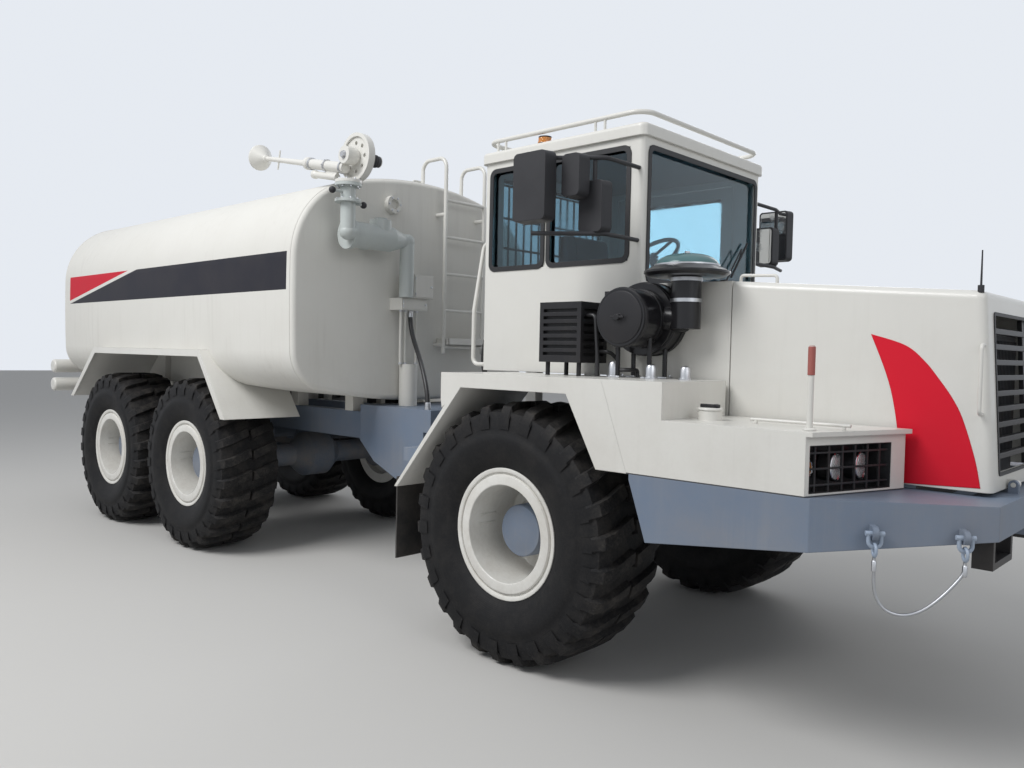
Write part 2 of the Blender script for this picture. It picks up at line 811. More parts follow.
class Forge:
    """Collects plain shapes into one mesh and turns them into a piece of the truck."""

    def __init__(self, name: str) -> None:
        """Start a piece.

        Args:
            name: The piece's name.
        """
        self.name = name
        self.mesh = bmesh.new()

    def box(self, low: Point, high: Point) -> None:
        """Add a box between two corners."""
        centre = (Vector(low) + Vector(high)) / 2
        size = Vector(high) - Vector(low)
        matrix = Matrix.Translation(centre) @ Matrix.Diagonal((*[abs(side) for side in size], 1))
        bmesh.ops.create_cube(self.mesh, size=1.0, matrix=matrix)

    def bar(self, start: Point, end: Point, radius: float, sides: int = 20, top: float | None = None) -> None:
        """Add a round bar, or a cone with a radius of its own at its end.

        Args:
            start: The bar's first end.
            end: Its other end.
            radius: The radius at the start.
            sides: Flat sides round it.
            top: The radius at the end, if it tapers.
        """
        first, last = Vector(start), Vector(end)
        along = last - first
        turn = Vector((0, 0, 1)).rotation_difference(along).to_matrix().to_4x4()
        bmesh.ops.create_cone(
            self.mesh,
            cap_ends=True,
            segments=sides,
            radius1=radius,
            radius2=radius if top is None else top,
            depth=along.length,
            matrix=Matrix.Translation((first + last) / 2) @ turn,
        )

    def ring(
        self, centre: Vector, first_way: Vector, other_way: Vector, radius: float, sides: int
    ) -> list[bmesh.types.BMVert]:
        """Add a ring of vertices.

        Args:
            centre: The ring's middle.
            first_way: The direction to its first vertex.
            other_way: The direction a quarter turn on.
            radius: The ring's radius.
            sides: How many vertices.

        Returns:
            The vertices in order.
        """
        turns = [2 * math.pi * step / sides for step in range(sides)]
        return [
            self.mesh.verts.new(centre + first_way * (radius * math.cos(turn)) + other_way * (radius * math.sin(turn)))
            for turn in turns
        ]

    def tube(self, path: Sequence[Point], radius: float, sides: int = 12, closed: bool = False) -> None:
        """Sweep a round section along a path.

        Args:
            path: The centreline's points.
            radius: The tube's radius.
            sides: Flat sides round it.
            closed: Whether the path ends where it starts.
        """
        points = [Vector(point) for point in path]
        count = len(points)
        rings = []
        side_way = None
        for index, point in enumerate(points):
            if closed:
                along = points[(index + 1) % count] - points[index - 1]
            else:
                along = points[min(index + 1, count - 1)] - points[max(index - 1, 0)]
            along.normalize()
            if side_way is None:
                side_way = along.orthogonal().normalized()
            side_way = (side_way - along * side_way.dot(along)).normalized()
            rings.append(self.ring(point, side_way, along.cross(side_way), radius, sides))
        self.join_rings(rings, closed)

    def join_rings(self, rings: list[list[bmesh.types.BMVert]], closed: bool = False) -> None:
        """Skin a row of equal rings with faces, and close its ends.

        Args:
            rings: Rings of vertices in order.
            closed: Whether the last ring joins the first, which leaves no ends.
        """
        pairs = list(zip(rings, rings[1:]))
        if closed:
            pairs.append((rings[-1], rings[0]))
        for first, second in pairs:
            for step in range(len(first)):
                after = (step + 1) % len(first)
                self.mesh.faces.new((first[step], first[after], second[after], second[step]))
        if not closed:
            self.mesh.faces.new(rings[0][::-1])
            self.mesh.faces.new(rings[-1])

    def lathe(
        self, profile: Sequence[tuple[float, float]], centre: Point, axis: Point, segments: int, closed: bool = False
    ) -> None:
        """Turn a profile about an axis.

        Args:
            profile: Distance along the axis and radius of each point.
            centre: The axis' origin.
            axis: The axis' direction.
            segments: Steps round the axis.
            closed: Whether the profile's last point joins the first.
        """
        along = Vector(axis).normalized()
        side_way = along.orthogonal().normalized()
        other_way = along.cross(side_way)
        origin = Vector(centre)
        rings = []
        for reach, radius in profile:
            place = origin + along * reach
            if radius < 1e-6:
                rings.append([self.mesh.verts.new(place)])
            else:
                rings.append(self.ring(place, side_way, other_way, radius, segments))
        pairs = list(zip(rings, rings[1:])) + ([(rings[-1], rings[0])] if closed else [])
        for first, second in pairs:
            for step in range(segments):
                after = (step + 1) % segments
                corners = [first[step % len(first)], first[after % len(first)]]
                corners += [second[after % len(second)], second[step % len(second)]]
                self.mesh.faces.new(list(dict.fromkeys(corners)))

    def prism(self, outline: Sequence[Point], push: Point) -> None:
        """Push a flat outline along a direction into a solid.

        Args:
            outline: The outline's corners.
            push: How far and which way it goes.
        """
        near = [self.mesh.verts.new(Vector(point)) for point in outline]
        far = [self.mesh.verts.new(Vector(point) + Vector(push)) for point in outline]
        self.join_rings([near, far])

    def band(self, outer: Sequence[Point], inner: Sequence[Point], push: Point) -> None:
        """Push the flat ring between two closed lines along a direction.

        Args:
            outer: The outer line's points.
            inner: The inner line's points, as many.
            push: How far and which way the ring goes.
        """
        lift = Vector(push)
        rings = [
            [self.mesh.verts.new(Vector(point) + (lift if far else Vector())) for point in line]
            for line, far in ((outer, False), (outer, True), (inner, True), (inner, False))
        ]
        self.join_rings(rings, closed=True)

    def nut(self, centre: Point, normal: Point, across: float, height: float) -> None:
        """Add a six-sided bolt head with a washer under it."""
        out = Vector(normal).normalized()
        base = Vector(centre)
        self.bar(base, base + out * height * 0.2, across * 0.62, 14)
        self.bar(base + out * height * 0.2, base + out * height, across * 0.5, 6, across * 0.46)

    def nuts(self, places: Iterable[Point], normal: Point, across: float, height: float) -> None:
        """Add a bolt head at each of some places."""
        for place in places:
            self.nut(place, normal, across, height)

    def piece(
        self,
        body: str,
        finish: Finish,
        slot: Slot,
        bevel: float = 0.0,
        replaces: Sequence[str] = (),
        origin: Point | None = None,
    ) -> bpy.types.Object:
        """Close the mesh and hang it on a body.

        Args:
            body: The construction's body that it moves with.
            finish: Its finish.
            slot: The record's slot that the finish belongs to.
            bevel: The width of the rounding on hard edges.
            replaces: Nodes of the construction that it stands for.
            origin: The object's own origin, if its finish is drawn about a place.

        Returns:
            The piece's object.
        """
        bmesh.ops.recalc_face_normals(self.mesh, faces=self.mesh.faces)
        if origin is not None:
            bmesh.ops.translate(self.mesh, verts=self.mesh.verts, vec=-Vector(origin))
        data = bpy.data.meshes.new(self.name)
        self.mesh.to_mesh(data)
        self.mesh.free()
        data.materials.append(material_of(finish))
        data.shade_smooth()
        data.set_sharp_from_angle(angle=SHARP_ANGLE)
        piece = bpy.data.objects.new(self.name, data)
        if origin is not None:
            piece.location = origin
        bpy.context.scene.collection.objects.link(piece)
        if bevel:
            rounding = piece.modifiers.new("rounding", "BEVEL")
            rounding.width = bevel
            rounding.segments = 2
            rounding.angle_limit = BEVEL_ANGLE
            rounding.harden_normals = False
        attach(piece, body)
        if replaces:
            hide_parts(*replaces)
        triangles = sum(len(face.vertices) - 2 for face in data.polygons)
        log.info("%s: %d triangles on %s", self.name, triangles, body)
        return piece


# The studio


@dataclass
class Studio:
    """A pale floor, soft light and the photograph's camera."""

    camera_place: Point = (ahead(3.454), -5.042, 1.877)
    azimuth: float = 43.03
    pitch: float = -2.02
    roll: float = 1.23
    lens: float = 29.6
    floor_size: float = 120.0
    floor_colour: Colour = (0.56, 0.55, 0.53)
    sky: Colour = (0.86, 0.90, 0.96)
    sky_light: float = 0.42
    sky_seen: float = 0.92
    lamps: tuple[tuple[str, Point, Point, float, float], ...] = (
        ("key", (-0.5, -9.0, 10.5), (0.5, 0.0, 1.2), 7.0, 1180.0),
        ("front_fill", (11.0, -3.0, 6.0), (1.5, 0.0, 1.5), 6.0, 140.0),
        ("left_fill", (-2.0, 11.0, 6.0), (0.0, 0.0, 1.5), 8.0, 330.0),
    )

    def build(self) -> None:
        """Make floor, world, lamps and camera."""
        bpy.context.scene.view_settings.view_transform = "Standard"
        self.build_floor()
        self.build_world()
        self.build_lamps()
        self.build_camera()

    def build_floor(self) -> None:
        """Lay one large plane under the wheels."""
        half = self.floor_size / 2
        data = bpy.data.meshes.new("studio_floor")
        data.from_pydata([(-half, -half, 0), (half, -half, 0), (half, half, 0), (-half, half, 0)], [], [(0, 1, 2, 3)])
        floor = bpy.data.objects.new("studio_floor", data)
        bpy.context.scene.collection.objects.link(floor)
        material, graph, shader = blank_material("pale_floor")
        graph.fill(shader, Base_Color=opaque(self.floor_colour), Roughness=0.9)
        data.materials.append(material)

    def build_world(self) -> None:
        """Light softly from all round, and show a pale sky to the camera and to gloss."""
        world = bpy.data.worlds.new("soft_sky")
        bpy.context.scene.world = world
        world.use_nodes = True
        world.node_tree.nodes.clear()
        graph = Graph(world.node_tree)
        rays = graph.node("ShaderNodeLightPath")
        seen = graph.math("MAXIMUM", rays.outputs["Is Camera Ray"], rays.outputs["Is Glossy Ray"])
        seen = graph.math("MAXIMUM", seen, rays.outputs["Is Transmission Ray"])
        soft = graph.node("ShaderNodeBackground", in_Color=opaque(self.sky), in_Strength=self.sky_light)
        pale = graph.node("ShaderNodeBackground", in_Color=opaque(self.sky), in_Strength=self.sky_seen)
        mixed = graph.node("ShaderNodeMixShader", in_0=seen, in_1=soft.outputs[0], in_2=pale.outputs[0])
        graph.node("ShaderNodeOutputWorld", in_Surface=mixed.outputs[0])

    def build_lamps(self) -> None:
        """Hang a broad key light over the right side, and fills at the front and on the left."""
        for name, place, aim, size, power in self.lamps:
            data = bpy.data.lights.new(name, "AREA")
            data.shape = "DISK"
            data.size = size
            data.energy = power
            lamp = bpy.data.objects.new(name, data)
            lamp.location = place
            lamp.rotation_euler = (Vector(aim) - Vector(place)).to_track_quat("-Z", "Y").to_euler()
            bpy.context.scene.collection.objects.link(lamp)

    def build_camera(self) -> None:
        """Stand the camera where the photographer stood."""
        turn, tip, lean = (math.radians(value) for value in (self.azimuth, self.pitch, self.roll))
        forward = Vector((-math.sin(turn) * math.cos(tip), math.cos(turn) * math.cos(tip), math.sin(tip)))
        level = forward.cross(Vector((0, 0, 1))).normalized()
        upright = level.cross(forward)
        right = level * math.cos(lean) + upright * math.sin(lean)
        up = right.cross(forward)
        data = bpy.data.cameras.new("photo_camera")
        data.lens = self.lens
        data.sensor_width = 36.0
        camera = bpy.data.objects.new("photo_camera", data)
        turned = Matrix((right, up, -forward)).transposed().to_4x4()
        camera.matrix_world = Matrix.Translation(self.camera_place) @ turned
        bpy.context.scene.collection.objects.link(camera)
        bpy.context.scene.camera = camera


# The construction's own nodes, with better finishes


NODE_FINISHES: dict[Finish, tuple[str, ...]] = {
    WHITE: (
        "front_fenders", "cowl", "cab_shell", "cab_roof", "hand_rails", "hood_shell", "door_panel", "manhole_lid",
        "rear_fenders", "ladder", "control_cabinet", "cannon_swivel", "cannon_barrel", "spray_bars",
    ),
    TANK_WHITE: ("tank",),
    BOX_WHITE: ("side_boxes",),
    BLUE_GREY: (
        "front_frame", "hitch_mounts", "bumper", "steer_barrel_right", "steer_barrel_left", "rear_frame", "frame_nose",
    ),
    UNDER_GREY: ("front_axle", "hitch_yoke", "rear_axles", "walking_beams"),
    SHACKLE_BLUE: ("shackles",),
    GREEN_GREY: ("cannon_riser",),
    BLACK: ("front_lamps", "oil_cooler", "tow_gear", "grille", "rear_lamps"),
    GLOSS_BLACK: ("air_cleaner",),
    CASTING: ("power_train",),
    CHROME: ("steer_rod_right", "steer_rod_left"),
    PLASTIC: ("seat_base", "mirrors"),
    GREY_PLASTIC: ("dashboard",),
    FLAP: ("mudflaps",),
    GLASS: ("cab_glass", "door_glass"),
}


def dress_nodes() -> None:
    """Give each node of the construction its finish."""
    for finish, names in NODE_FINISHES.items():
        for name in names:
            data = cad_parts[name].data
            data.materials.clear()
            data.materials.append(material_of(finish))
        log.info("%s on %d nodes", finish.name, len(names))


# Wheels


@dataclass
class Wheel:
    """One wheel: a lugged tyre and a deep rim, both in the shape of their solids."""

    place: str
    side: Side
    tyre_radius: float = 0.795
    half_width: float = 0.300
    tread_half: float = 0.262
    carcass_drop: float = 0.040
    tyre_steps: int = 96
    lug_count: int = 26
    lug_width: float = 0.085
    lug_shares: tuple[float, float] = (1.15, 0.82)
    shoulder_reach: float = 0.105
    rim_flange: float = 0.400
    rim_half: float = 0.252
    rim_steps: int = 72
    opening: float = 0.295
    seat: float = 0.355
    valve_turns: tuple[float, float] = (2.92, 3.12)
    valve_reach: tuple[float, float] = (0.02, 0.16)
    valve_radius: float = 0.007
    disc_inset: float = 0.140
    hub_radius: float = 0.163
    hub_face: float = 0.105
    hub_steps: int = 48
    nut_count: int = 12
    nut_circle: float = 0.215
    nut_size: tuple[float, float] = (0.034, 0.026)

    @property
    def label(self) -> str:
        """The wheel's place and side, as its nodes name them."""
        return f"{self.place}_{self.side.name.lower()}"

    @property
    def body(self) -> str:
        """The body that the wheel turns with."""
        return f"wheel_{self.label}"

    @property
    def centre(self) -> Point:
        """The wheel's middle."""
        return spot(WHEEL_AXLES[self.place], self.side.value * WHEEL_Y, AXLE_Z)

    @property
    def outward(self) -> Vector:
        """The direction out of the truck's side."""
        return Vector((0, self.side.value, 0))

    def build(self) -> None:
        """Make the tyre, the rim and the hub."""
        self.build_tyre()
        self.build_rim()
        self.build_hub()

    def on_wheel(self, width: float, radius: float, turn: float) -> Vector:
        """Return a place on the wheel.

        Args:
            width: How far out of the wheel's middle.
            radius: How far off the axis.
            turn: Its turn round the axis, in radians.

        Returns:
            The place in the frame.
        """
        spoke = Vector((math.cos(turn), 0, math.sin(turn)))
        return Vector(self.centre) + self.outward * width + spoke * radius

    def carcass(self) -> list[tuple[float, float]]:
        """Return the tyre's section without its lugs, as width and radius."""
        base = self.tyre_radius - self.carcass_drop
        rim, flange, wall, tread = self.rim_half, self.rim_flange, self.half_width, self.tread_half
        half = [
            (rim - 0.018, self.seat + 0.002), (rim - 0.017, flange - 0.012), (rim - 0.004, flange + 0.004),
            (rim + 0.008, flange + 0.030), (rim + 0.012, flange + 0.034), (rim + 0.022, flange + 0.062),
            (wall - 0.008, 0.505), (wall - 0.001, 0.560), (wall - 0.001, 0.598),
            (wall - 0.005, 0.604), (wall - 0.006, 0.640), (wall - 0.012, 0.690),
            (tread + 0.010, base - 0.018), (tread - 0.050, base - 0.002), (tread - 0.150, base + 0.004),
        ]
        return half + [(-width, radius) for width, radius in reversed(half)]

    def build_tyre(self) -> None:
        """Turn the carcass and set diagonal lugs over both shoulders."""
        forge = Forge(f"lugged_tyre_{self.label}")
        forge.lathe(self.carcass(), self.centre, self.outward, self.tyre_steps, closed=True)
        for row, lag in ((-1, 0.0), (1, 0.5)):
            for index in range(self.lug_count):
                self.add_lug(forge, 2 * math.pi * (index + lag) / self.lug_count, row)
        forge.piece(self.body, TYRE, Slot.TYRE, replaces=[f"tyre_{self.label}"], origin=self.centre)

    def lug_section(self) -> list[tuple[float, float, float, float]]:
        """Return a lug's stations: width place, foot and tip radius, turn of its middle."""
        tip = self.tyre_radius
        foot = tip - self.carcass_drop - 0.012
        return [
            (0.012, foot + 0.010, tip, -0.075),
            (0.130, foot + 0.006, tip, -0.020),
            (0.200, foot, tip - 0.003, 0.012),
            (self.tread_half, foot - 0.006, tip - 0.022, 0.030),
            (self.half_width - 0.004, foot - 0.040, tip - 0.090, 0.040),
            (self.half_width - 0.001, foot - self.shoulder_reach, tip - 0.150, 0.043),
        ]

    def add_lug(self, forge: Forge, turn: float, row: int) -> None:
        """Add one lug.

        Args:
            forge: Where the tyre's mesh is collected.
            turn: The lug's place round the wheel, in radians.
            row: Which shoulder it lies on, as the sign of its width.
        """
        half_turn = self.lug_width / 2 / self.tyre_radius
        at_foot, at_tip = self.lug_shares
        rings = []
        for width, foot, tip, lean in self.lug_section():
            middle = turn + lean * row * self.side.value
            corners = ((foot, -at_foot), (tip, -at_tip), (tip, at_tip), (foot, at_foot))
            rings.append([
                forge.mesh.verts.new(self.on_wheel(width * row, radius, middle + share * half_turn))
                for radius, share in corners
            ])
        forge.join_rings(rings)

    def rim_section(self) -> list[tuple[float, float]]:
        """Return the rim's section as width and radius, with its lock ring's groove."""
        disc, half, flange = -self.disc_inset, self.rim_half, self.rim_flange
        return [
            (half, self.opening + 0.004), (half - 0.004, self.opening),
            (disc + 0.004, self.opening - 0.001), (disc, self.opening - 0.006),
            (disc, 0.060), (disc - 0.028, 0.060), (disc - 0.030, self.opening),
            (-half, self.opening + 0.006), (-half, flange), (-half + 0.014, flange), (-half + 0.016, self.seat),
            (half - 0.016, self.seat), (half - 0.014, flange - 0.003), (half - 0.010, flange),
            (half - 0.002, flange - 0.001), (half, flange - 0.010), (half - 0.006, flange - 0.026),
            (half - 0.017, flange - 0.030), (half - 0.017, flange - 0.038),
            (half - 0.002, flange - 0.044), (half, flange - 0.052),
        ]

    def build_rim(self) -> None:
        """Turn the rim and lay two valve stems in its opening."""
        rim = Forge(f"deep_rim_{self.label}")
        rim.lathe(self.rim_section(), self.centre, self.outward, self.rim_steps, closed=True)
        for turn in self.valve_turns:
            start, end = (self.on_wheel(width, self.opening + 0.002, turn) for width in self.valve_reach)
            rim.bar(start, end, self.valve_radius, 8)
        rim.piece(self.body, RIM_WHITE, Slot.RIM, replaces=[f"rim_{self.label}"], origin=self.centre)

    def build_hub(self) -> None:
        """Turn the hub's drum and screw the nuts on the rim's disc."""
        disc = -self.disc_inset
        profile = [
            (disc - 0.050, 0.0),
            (disc - 0.050, self.hub_radius + 0.014),
            (disc + 0.040, self.hub_radius + 0.012),
            (disc + 0.052, self.hub_radius),
            (self.hub_face - 0.014, self.hub_radius - 0.003),
            (self.hub_face - 0.004, self.hub_radius - 0.010),
            (self.hub_face - 0.002, 0.118),
            (self.hub_face, 0.112),
            (self.hub_face, 0.0),
        ]
        hub = Forge(f"hub_disc_{self.label}")
        hub.lathe(profile, self.centre, self.outward, self.hub_steps)
        hub.piece(self.body, BLUE_GREY, Slot.FRAME)
        nuts = Forge(f"wheel_nuts_{self.label}")
        face = self.on_wheel(disc, 0.0, 0.0)
        nuts.nuts(round_places(face, self.outward, self.nut_circle, self.nut_count), self.outward, *self.nut_size)
        nuts.piece(self.body, RIM_WHITE, Slot.RIM)


# Hood, cab and what stands beside them


@dataclass
class Hood:
    """The tilting hood's trim: red flashes, handles, an antenna and the radiator's core behind the grille."""

    half_width: float = 0.775
    flash_outer: Outline = (
        (1.898, 2.016), (2.060, 1.963), (2.150, 1.890), (2.223, 1.799), (2.283, 1.712),
        (2.329, 1.618), (2.386, 1.438), (2.415, 1.294),
    )
    flash_inner: Outline = (
        (2.052, 1.294), (2.045, 1.501), (2.014, 1.694), (1.971, 1.839), (1.898, 2.016),
    )
    proud: float = 0.0015
    tube: float = 0.009
    handle_x: float = 2.405
    handle_z: tuple[float, float] = (1.650, 1.965)
    handle_out: float = 0.045
    handle_bend: float = 0.025
    top_handle: Outline = ((1.155, 2.305), (1.155, 2.345), (1.370, 2.335), (1.370, 2.290))
    top_handle_share: float = 0.93
    top_handle_bend: float = 0.020
    antenna: tuple[float, float] = (2.375, -0.750)
    antenna_foot: tuple[float, float, float] = (2.205, 2.240, 0.014)
    antenna_mast: tuple[float, float, float] = (2.235, 2.400, 0.005)
    antenna_tip: float = 0.003
    latch_x: tuple[float, float] = (1.150, 1.215)
    latch_z: tuple[float, float] = (1.470, 1.555)
    latch_depth: tuple[float, float] = (-0.002, 0.014)
    knob: tuple[float, float] = (1.182, 1.530)
    knob_length: float = 0.010
    knob_radius: float = 0.012
    grille: Outline = ((-0.64, 1.37), (0.64, 2.11))
    grille_edge: Outline = ((0.020, 0.012), (0.012, -0.004))
    grille_proud: float = 0.006
    front_foot: tuple[float, float] = (2.460, 1.290)
    front_head: tuple[float, float] = (2.400, 2.215)
    core_x: tuple[float, float] = (2.2302, 2.236)
    core_half: float = 0.570
    core_z: tuple[float, float] = (1.380, 2.020)
    fin_margin: tuple[float, float] = (0.015, 0.010)
    fin_count: int = 36
    fin_pitch: float = 0.0317
    fin_size: tuple[float, float] = (0.007, 0.009)

    def build(self) -> None:
        """Make the hood's trim."""
        self.build_flashes()
        self.build_handles()
        self.build_antenna()
        self.build_latches()
        self.build_grille()
        self.build_core()

    def build_flashes(self) -> None:
        """Lay the red flash on both sides."""
        outline = smooth_line(self.flash_outer)[:-1] + smooth_line(self.flash_inner)[:-1]
        forge = Forge("red_flashes")
        for side in Side:
            y = side.value * (self.half_width + GAP)
            forge.prism([spot(x, y, z) for x, z in outline], (0, side.value * self.proud, 0))
        forge.piece("hood", SIGNAL_RED, Slot.BODY)

    def build_handles(self) -> None:
        """Bend the grab handles on the sides and on top."""
        forge = Forge("hood_handles")
        low, high = self.handle_z
        for side in Side:
            y = side.value * self.half_width
            out = y + side.value * self.handle_out
            path = [spot(self.handle_x, *point) for point in ((y, low), (out, low), (out, high), (y, high))]
            forge.tube(rounded_path(path, self.handle_bend), self.tube)
            top = [spot(x, y * self.top_handle_share, z) for x, z in self.top_handle]
            forge.tube(rounded_path(top, self.top_handle_bend), self.tube)
        forge.piece("hood", WHITE, Slot.BODY)

    def build_antenna(self) -> None:
        """Set the antenna at the hood's front edge."""
        forge = Forge("antenna")
        low, high, radius = self.antenna_foot
        forge.bar(spot(*self.antenna, low), spot(*self.antenna, high), radius)
        low, high, radius = self.antenna_mast
        forge.bar(spot(*self.antenna, low), spot(*self.antenna, high), radius, 10, self.antenna_tip)
        forge.piece("hood", PLASTIC, Slot.PLASTIC)

    def build_latches(self) -> None:
        """Put a latch with its knob low on each side."""
        forge = Forge("hood_latches")
        x, z = self.knob
        for side in Side:
            back, face = (side.value * (self.half_width + depth) for depth in self.latch_depth)
            forge.box(spot(self.latch_x[0], back, self.latch_z[0]), spot(self.latch_x[1], face, self.latch_z[1]))
            forge.bar(spot(x, face, z), spot(x, face + side.value * self.knob_length, z), self.knob_radius)
        forge.piece("hood", WHITE, Slot.BODY, bevel=0.003)

    def on_front(self, y: float, z: float) -> Point:
        """Return a place on the hood's raked front, just inside its face."""
        (foot_x, foot_z), (head_x, head_z) = self.front_foot, self.front_head
        rake = (head_x - foot_x) / (head_z - foot_z)
        return spot(foot_x + rake * (z - foot_z) - 0.001, y, z)

    def build_grille(self) -> None:
        """Edge the grille's opening."""
        outer, inner = (
            [self.on_front(*point) for point in round_frame(*self.grille, radius, grow)]
            for radius, grow in self.grille_edge
        )
        forge = Forge("grille_edge")
        forge.band(outer, inner, (self.grille_proud, 0, 0))
        forge.piece("hood", SEAL, Slot.PLASTIC)

    def build_core(self) -> None:
        """Stand the radiator's core behind the grille, with its fins."""
        forge = Forge("radiator_core")
        (back, face), (low, high) = self.core_x, self.core_z
        forge.box(spot(back, -self.core_half, low), spot(face, self.core_half, high))
        side_margin, end_margin = self.fin_margin
        depth, thickness = self.fin_size
        for step in range(self.fin_count):
            y = side_margin - self.core_half + step * self.fin_pitch
            forge.box(spot(face, y, low + end_margin), spot(face + depth, y + thickness, high - end_margin))
        forge.piece("front_unit", CASTING, Slot.ENGINE)


@dataclass
class Cab:
    """The cab's window rubbers, wiper, linings, beacon, levers, guard, mirror glasses and door grip."""

    front: float = 0.500
    rear: float = -0.860
    half_width: float = 0.750
    wall: float = 0.050
    rubber_lines: Outline = ((0.057, 0.0119), (0.031, -0.0221))
    rubber_out: float = 0.007
    side_panes: Outline = ((-0.790, -0.295), (-0.255, 0.400))
    side_levels: tuple[float, float] = (2.470, 3.170)
    windscreen: tuple[float, float, float] = (0.690, 2.345, 3.170)
    rear_pane: tuple[float, float, float] = (0.600, 2.400, 3.150)
    door_pane: Outline = ((-0.640, 2.420), (0.210, 3.090))
    wiper_foot: Point = (0.530, 0.235, 2.405)
    wiper_tip: Point = (0.516, 0.545, 2.745)
    wiper_spindle: tuple[float, float, float] = (0.496, 0.540, 0.022)
    blade_shift: Point = (-0.012, 0.035, -0.030)
    lining_gap: float = 0.0505
    lining: float = 0.008
    floor: float = 1.8102
    beacon: Point = (-0.330, -0.712, 3.3053)
    dome: Outline = (
        (0.0, 0.0), (0.0, 0.050), (0.010, 0.050), (0.012, 0.0465), (0.034, 0.0462), (0.046, 0.034), (0.049, 0.0),
    )
    seat_x: float = -0.330
    guard_behind: float = 0.026
    guard_levels: tuple[float, ...] = (2.440, 2.660, 2.880, 3.120)
    guard_half: float = 0.580
    guard_bars: int = 14
    guard_pitch: float = 0.085
    mirror_depth: float = 0.090
    mirror_heads: tuple[tuple[float, ...], ...] = (
        (-1, 0.000, 0.250, 1.370, 2.660, 3.060),
        (-1, 0.270, 0.400, 1.245, 2.800, 3.045),
        (-1, 0.310, 0.480, 1.130, 2.600, 2.900),
        (1, 0.230, 0.480, 1.370, 2.660, 3.060),
        (1, 0.310, 0.480, 1.130, 2.600, 2.900),
    )
    mirror_lines: Outline = ((0.026, -0.008), (0.020, -0.018))
    grip: Point = (0.215, 0.7785, 2.270)
    grip_line: Outline = ((-0.030, 0.004), (-0.026, 0.026), (0.026, 0.026), (0.030, 0.004))

    def build(self) -> None:
        """Make the cab's trim."""
        self.build_seals()
        self.build_wiper()
        self.build_lining()
        self.build_beacon()
        self.build_controls()
        self.build_rear_guard()
        self.build_mirror_glass()
        self.build_door_grip()

    def seal(
        self, forge: Forge, across: int, at: float, low: Sequence[float], high: Sequence[float], out: float
    ) -> None:
        """Add the rubber round one window.

        Args:
            forge: Where the rubbers are collected.
            across: The index of the axis that the window faces, 0 or 1.
            at: Where its wall's face is.
            low: The opening's lower corner.
            high: Its upper corner.
            out: How far and which way the rubber stands proud.
        """
        lines = [
            [(at, a, z) if across == 0 else (a, at, z) for a, z in round_frame(low, high, radius, grow)]
            for radius, grow in self.rubber_lines
        ]
        push = [0.0, 0.0, 0.0]
        push[across] = out
        forge.band(lines[0], lines[1], push)

    def build_seals(self) -> None:
        """Run rubbers round the panes on the walls' faces."""
        fixed = Forge("window_rubbers")
        bottom, top = self.side_levels
        for rear, front in self.side_panes:
            low, high = (ahead(rear), bottom), (ahead(front), top)
            self.seal(fixed, 1, GAP - self.half_width, low, high, -self.rubber_out)
            self.seal(fixed, 1, self.wall - 0.002 - self.half_width, low, high, 0.006)
        for at, way, (half, bottom, top) in ((self.front, 1, self.windscreen), (self.rear, -1, self.rear_pane)):
            self.seal(fixed, 0, ahead(at) - way * GAP, (-half, bottom), (half, top), way * self.rubber_out)
        fixed.piece("front_unit", SEAL, Slot.PLASTIC, bevel=0.002)
        door = Forge("door_rubber")
        low, high = ((ahead(x), z) for x, z in self.door_pane)
        self.seal(door, 1, self.half_width - GAP, low, high, self.rubber_out)
        door.piece("cab_door", SEAL, Slot.PLASTIC, bevel=0.002)

    def build_wiper(self) -> None:
        """Lay the wiper over the windscreen."""
        foot, tip = Vector(spot(*self.wiper_foot)), Vector(spot(*self.wiper_tip))
        elbow, shift = foot.lerp(tip, 0.75), Vector(self.blade_shift)
        back, face, radius = self.wiper_spindle
        arm = Forge("wiper_arm")
        arm.bar(spot(back, foot.y, foot.z), spot(face, foot.y, foot.z), radius)
        arm.bar(foot, elbow, 0.007, 10, 0.005)
        arm.bar(foot.lerp(tip, 0.22) + shift, tip + shift, 0.008, 8)
        arm.bar(elbow, foot.lerp(tip, 0.62) + shift, 0.005, 8)
        arm.piece("front_unit", PLASTIC, Slot.PLASTIC)

    def build_lining(self) -> None:
        """Line the cab's roof and lower walls, and lay the floor mat."""
        x0, x1 = ahead(self.rear) + self.lining_gap, ahead(self.front) - self.lining_gap
        y, floor = self.half_width - self.lining_gap, self.floor
        forge = Forge("cab_lining")
        forge.box((x0, -y, 3.2245), (x1, y, 3.2145))
        forge.box((x0, -y, floor), (x0 + self.lining, y, 2.385))
        forge.box((x0, -y, floor), (x1, self.lining - y, 2.455))
        forge.piece("front_unit", GREY_PLASTIC, Slot.PLASTIC)
        mat = Forge("floor_mat")
        mat.box((x0 + 0.02, 0.02 - y, floor), (x1 - 0.26, y - 0.05, floor + 0.010))
        mat.piece("front_unit", FLAP, Slot.FLAP, bevel=0.003)

    def build_beacon(self) -> None:
        """Give the roof's lamp an amber dome."""
        forge = Forge("roof_beacon")
        forge.lathe(self.dome, spot(*self.beacon), (0, 0, 1), 32)
        forge.piece("front_unit", AMBER, Slot.LAMP)

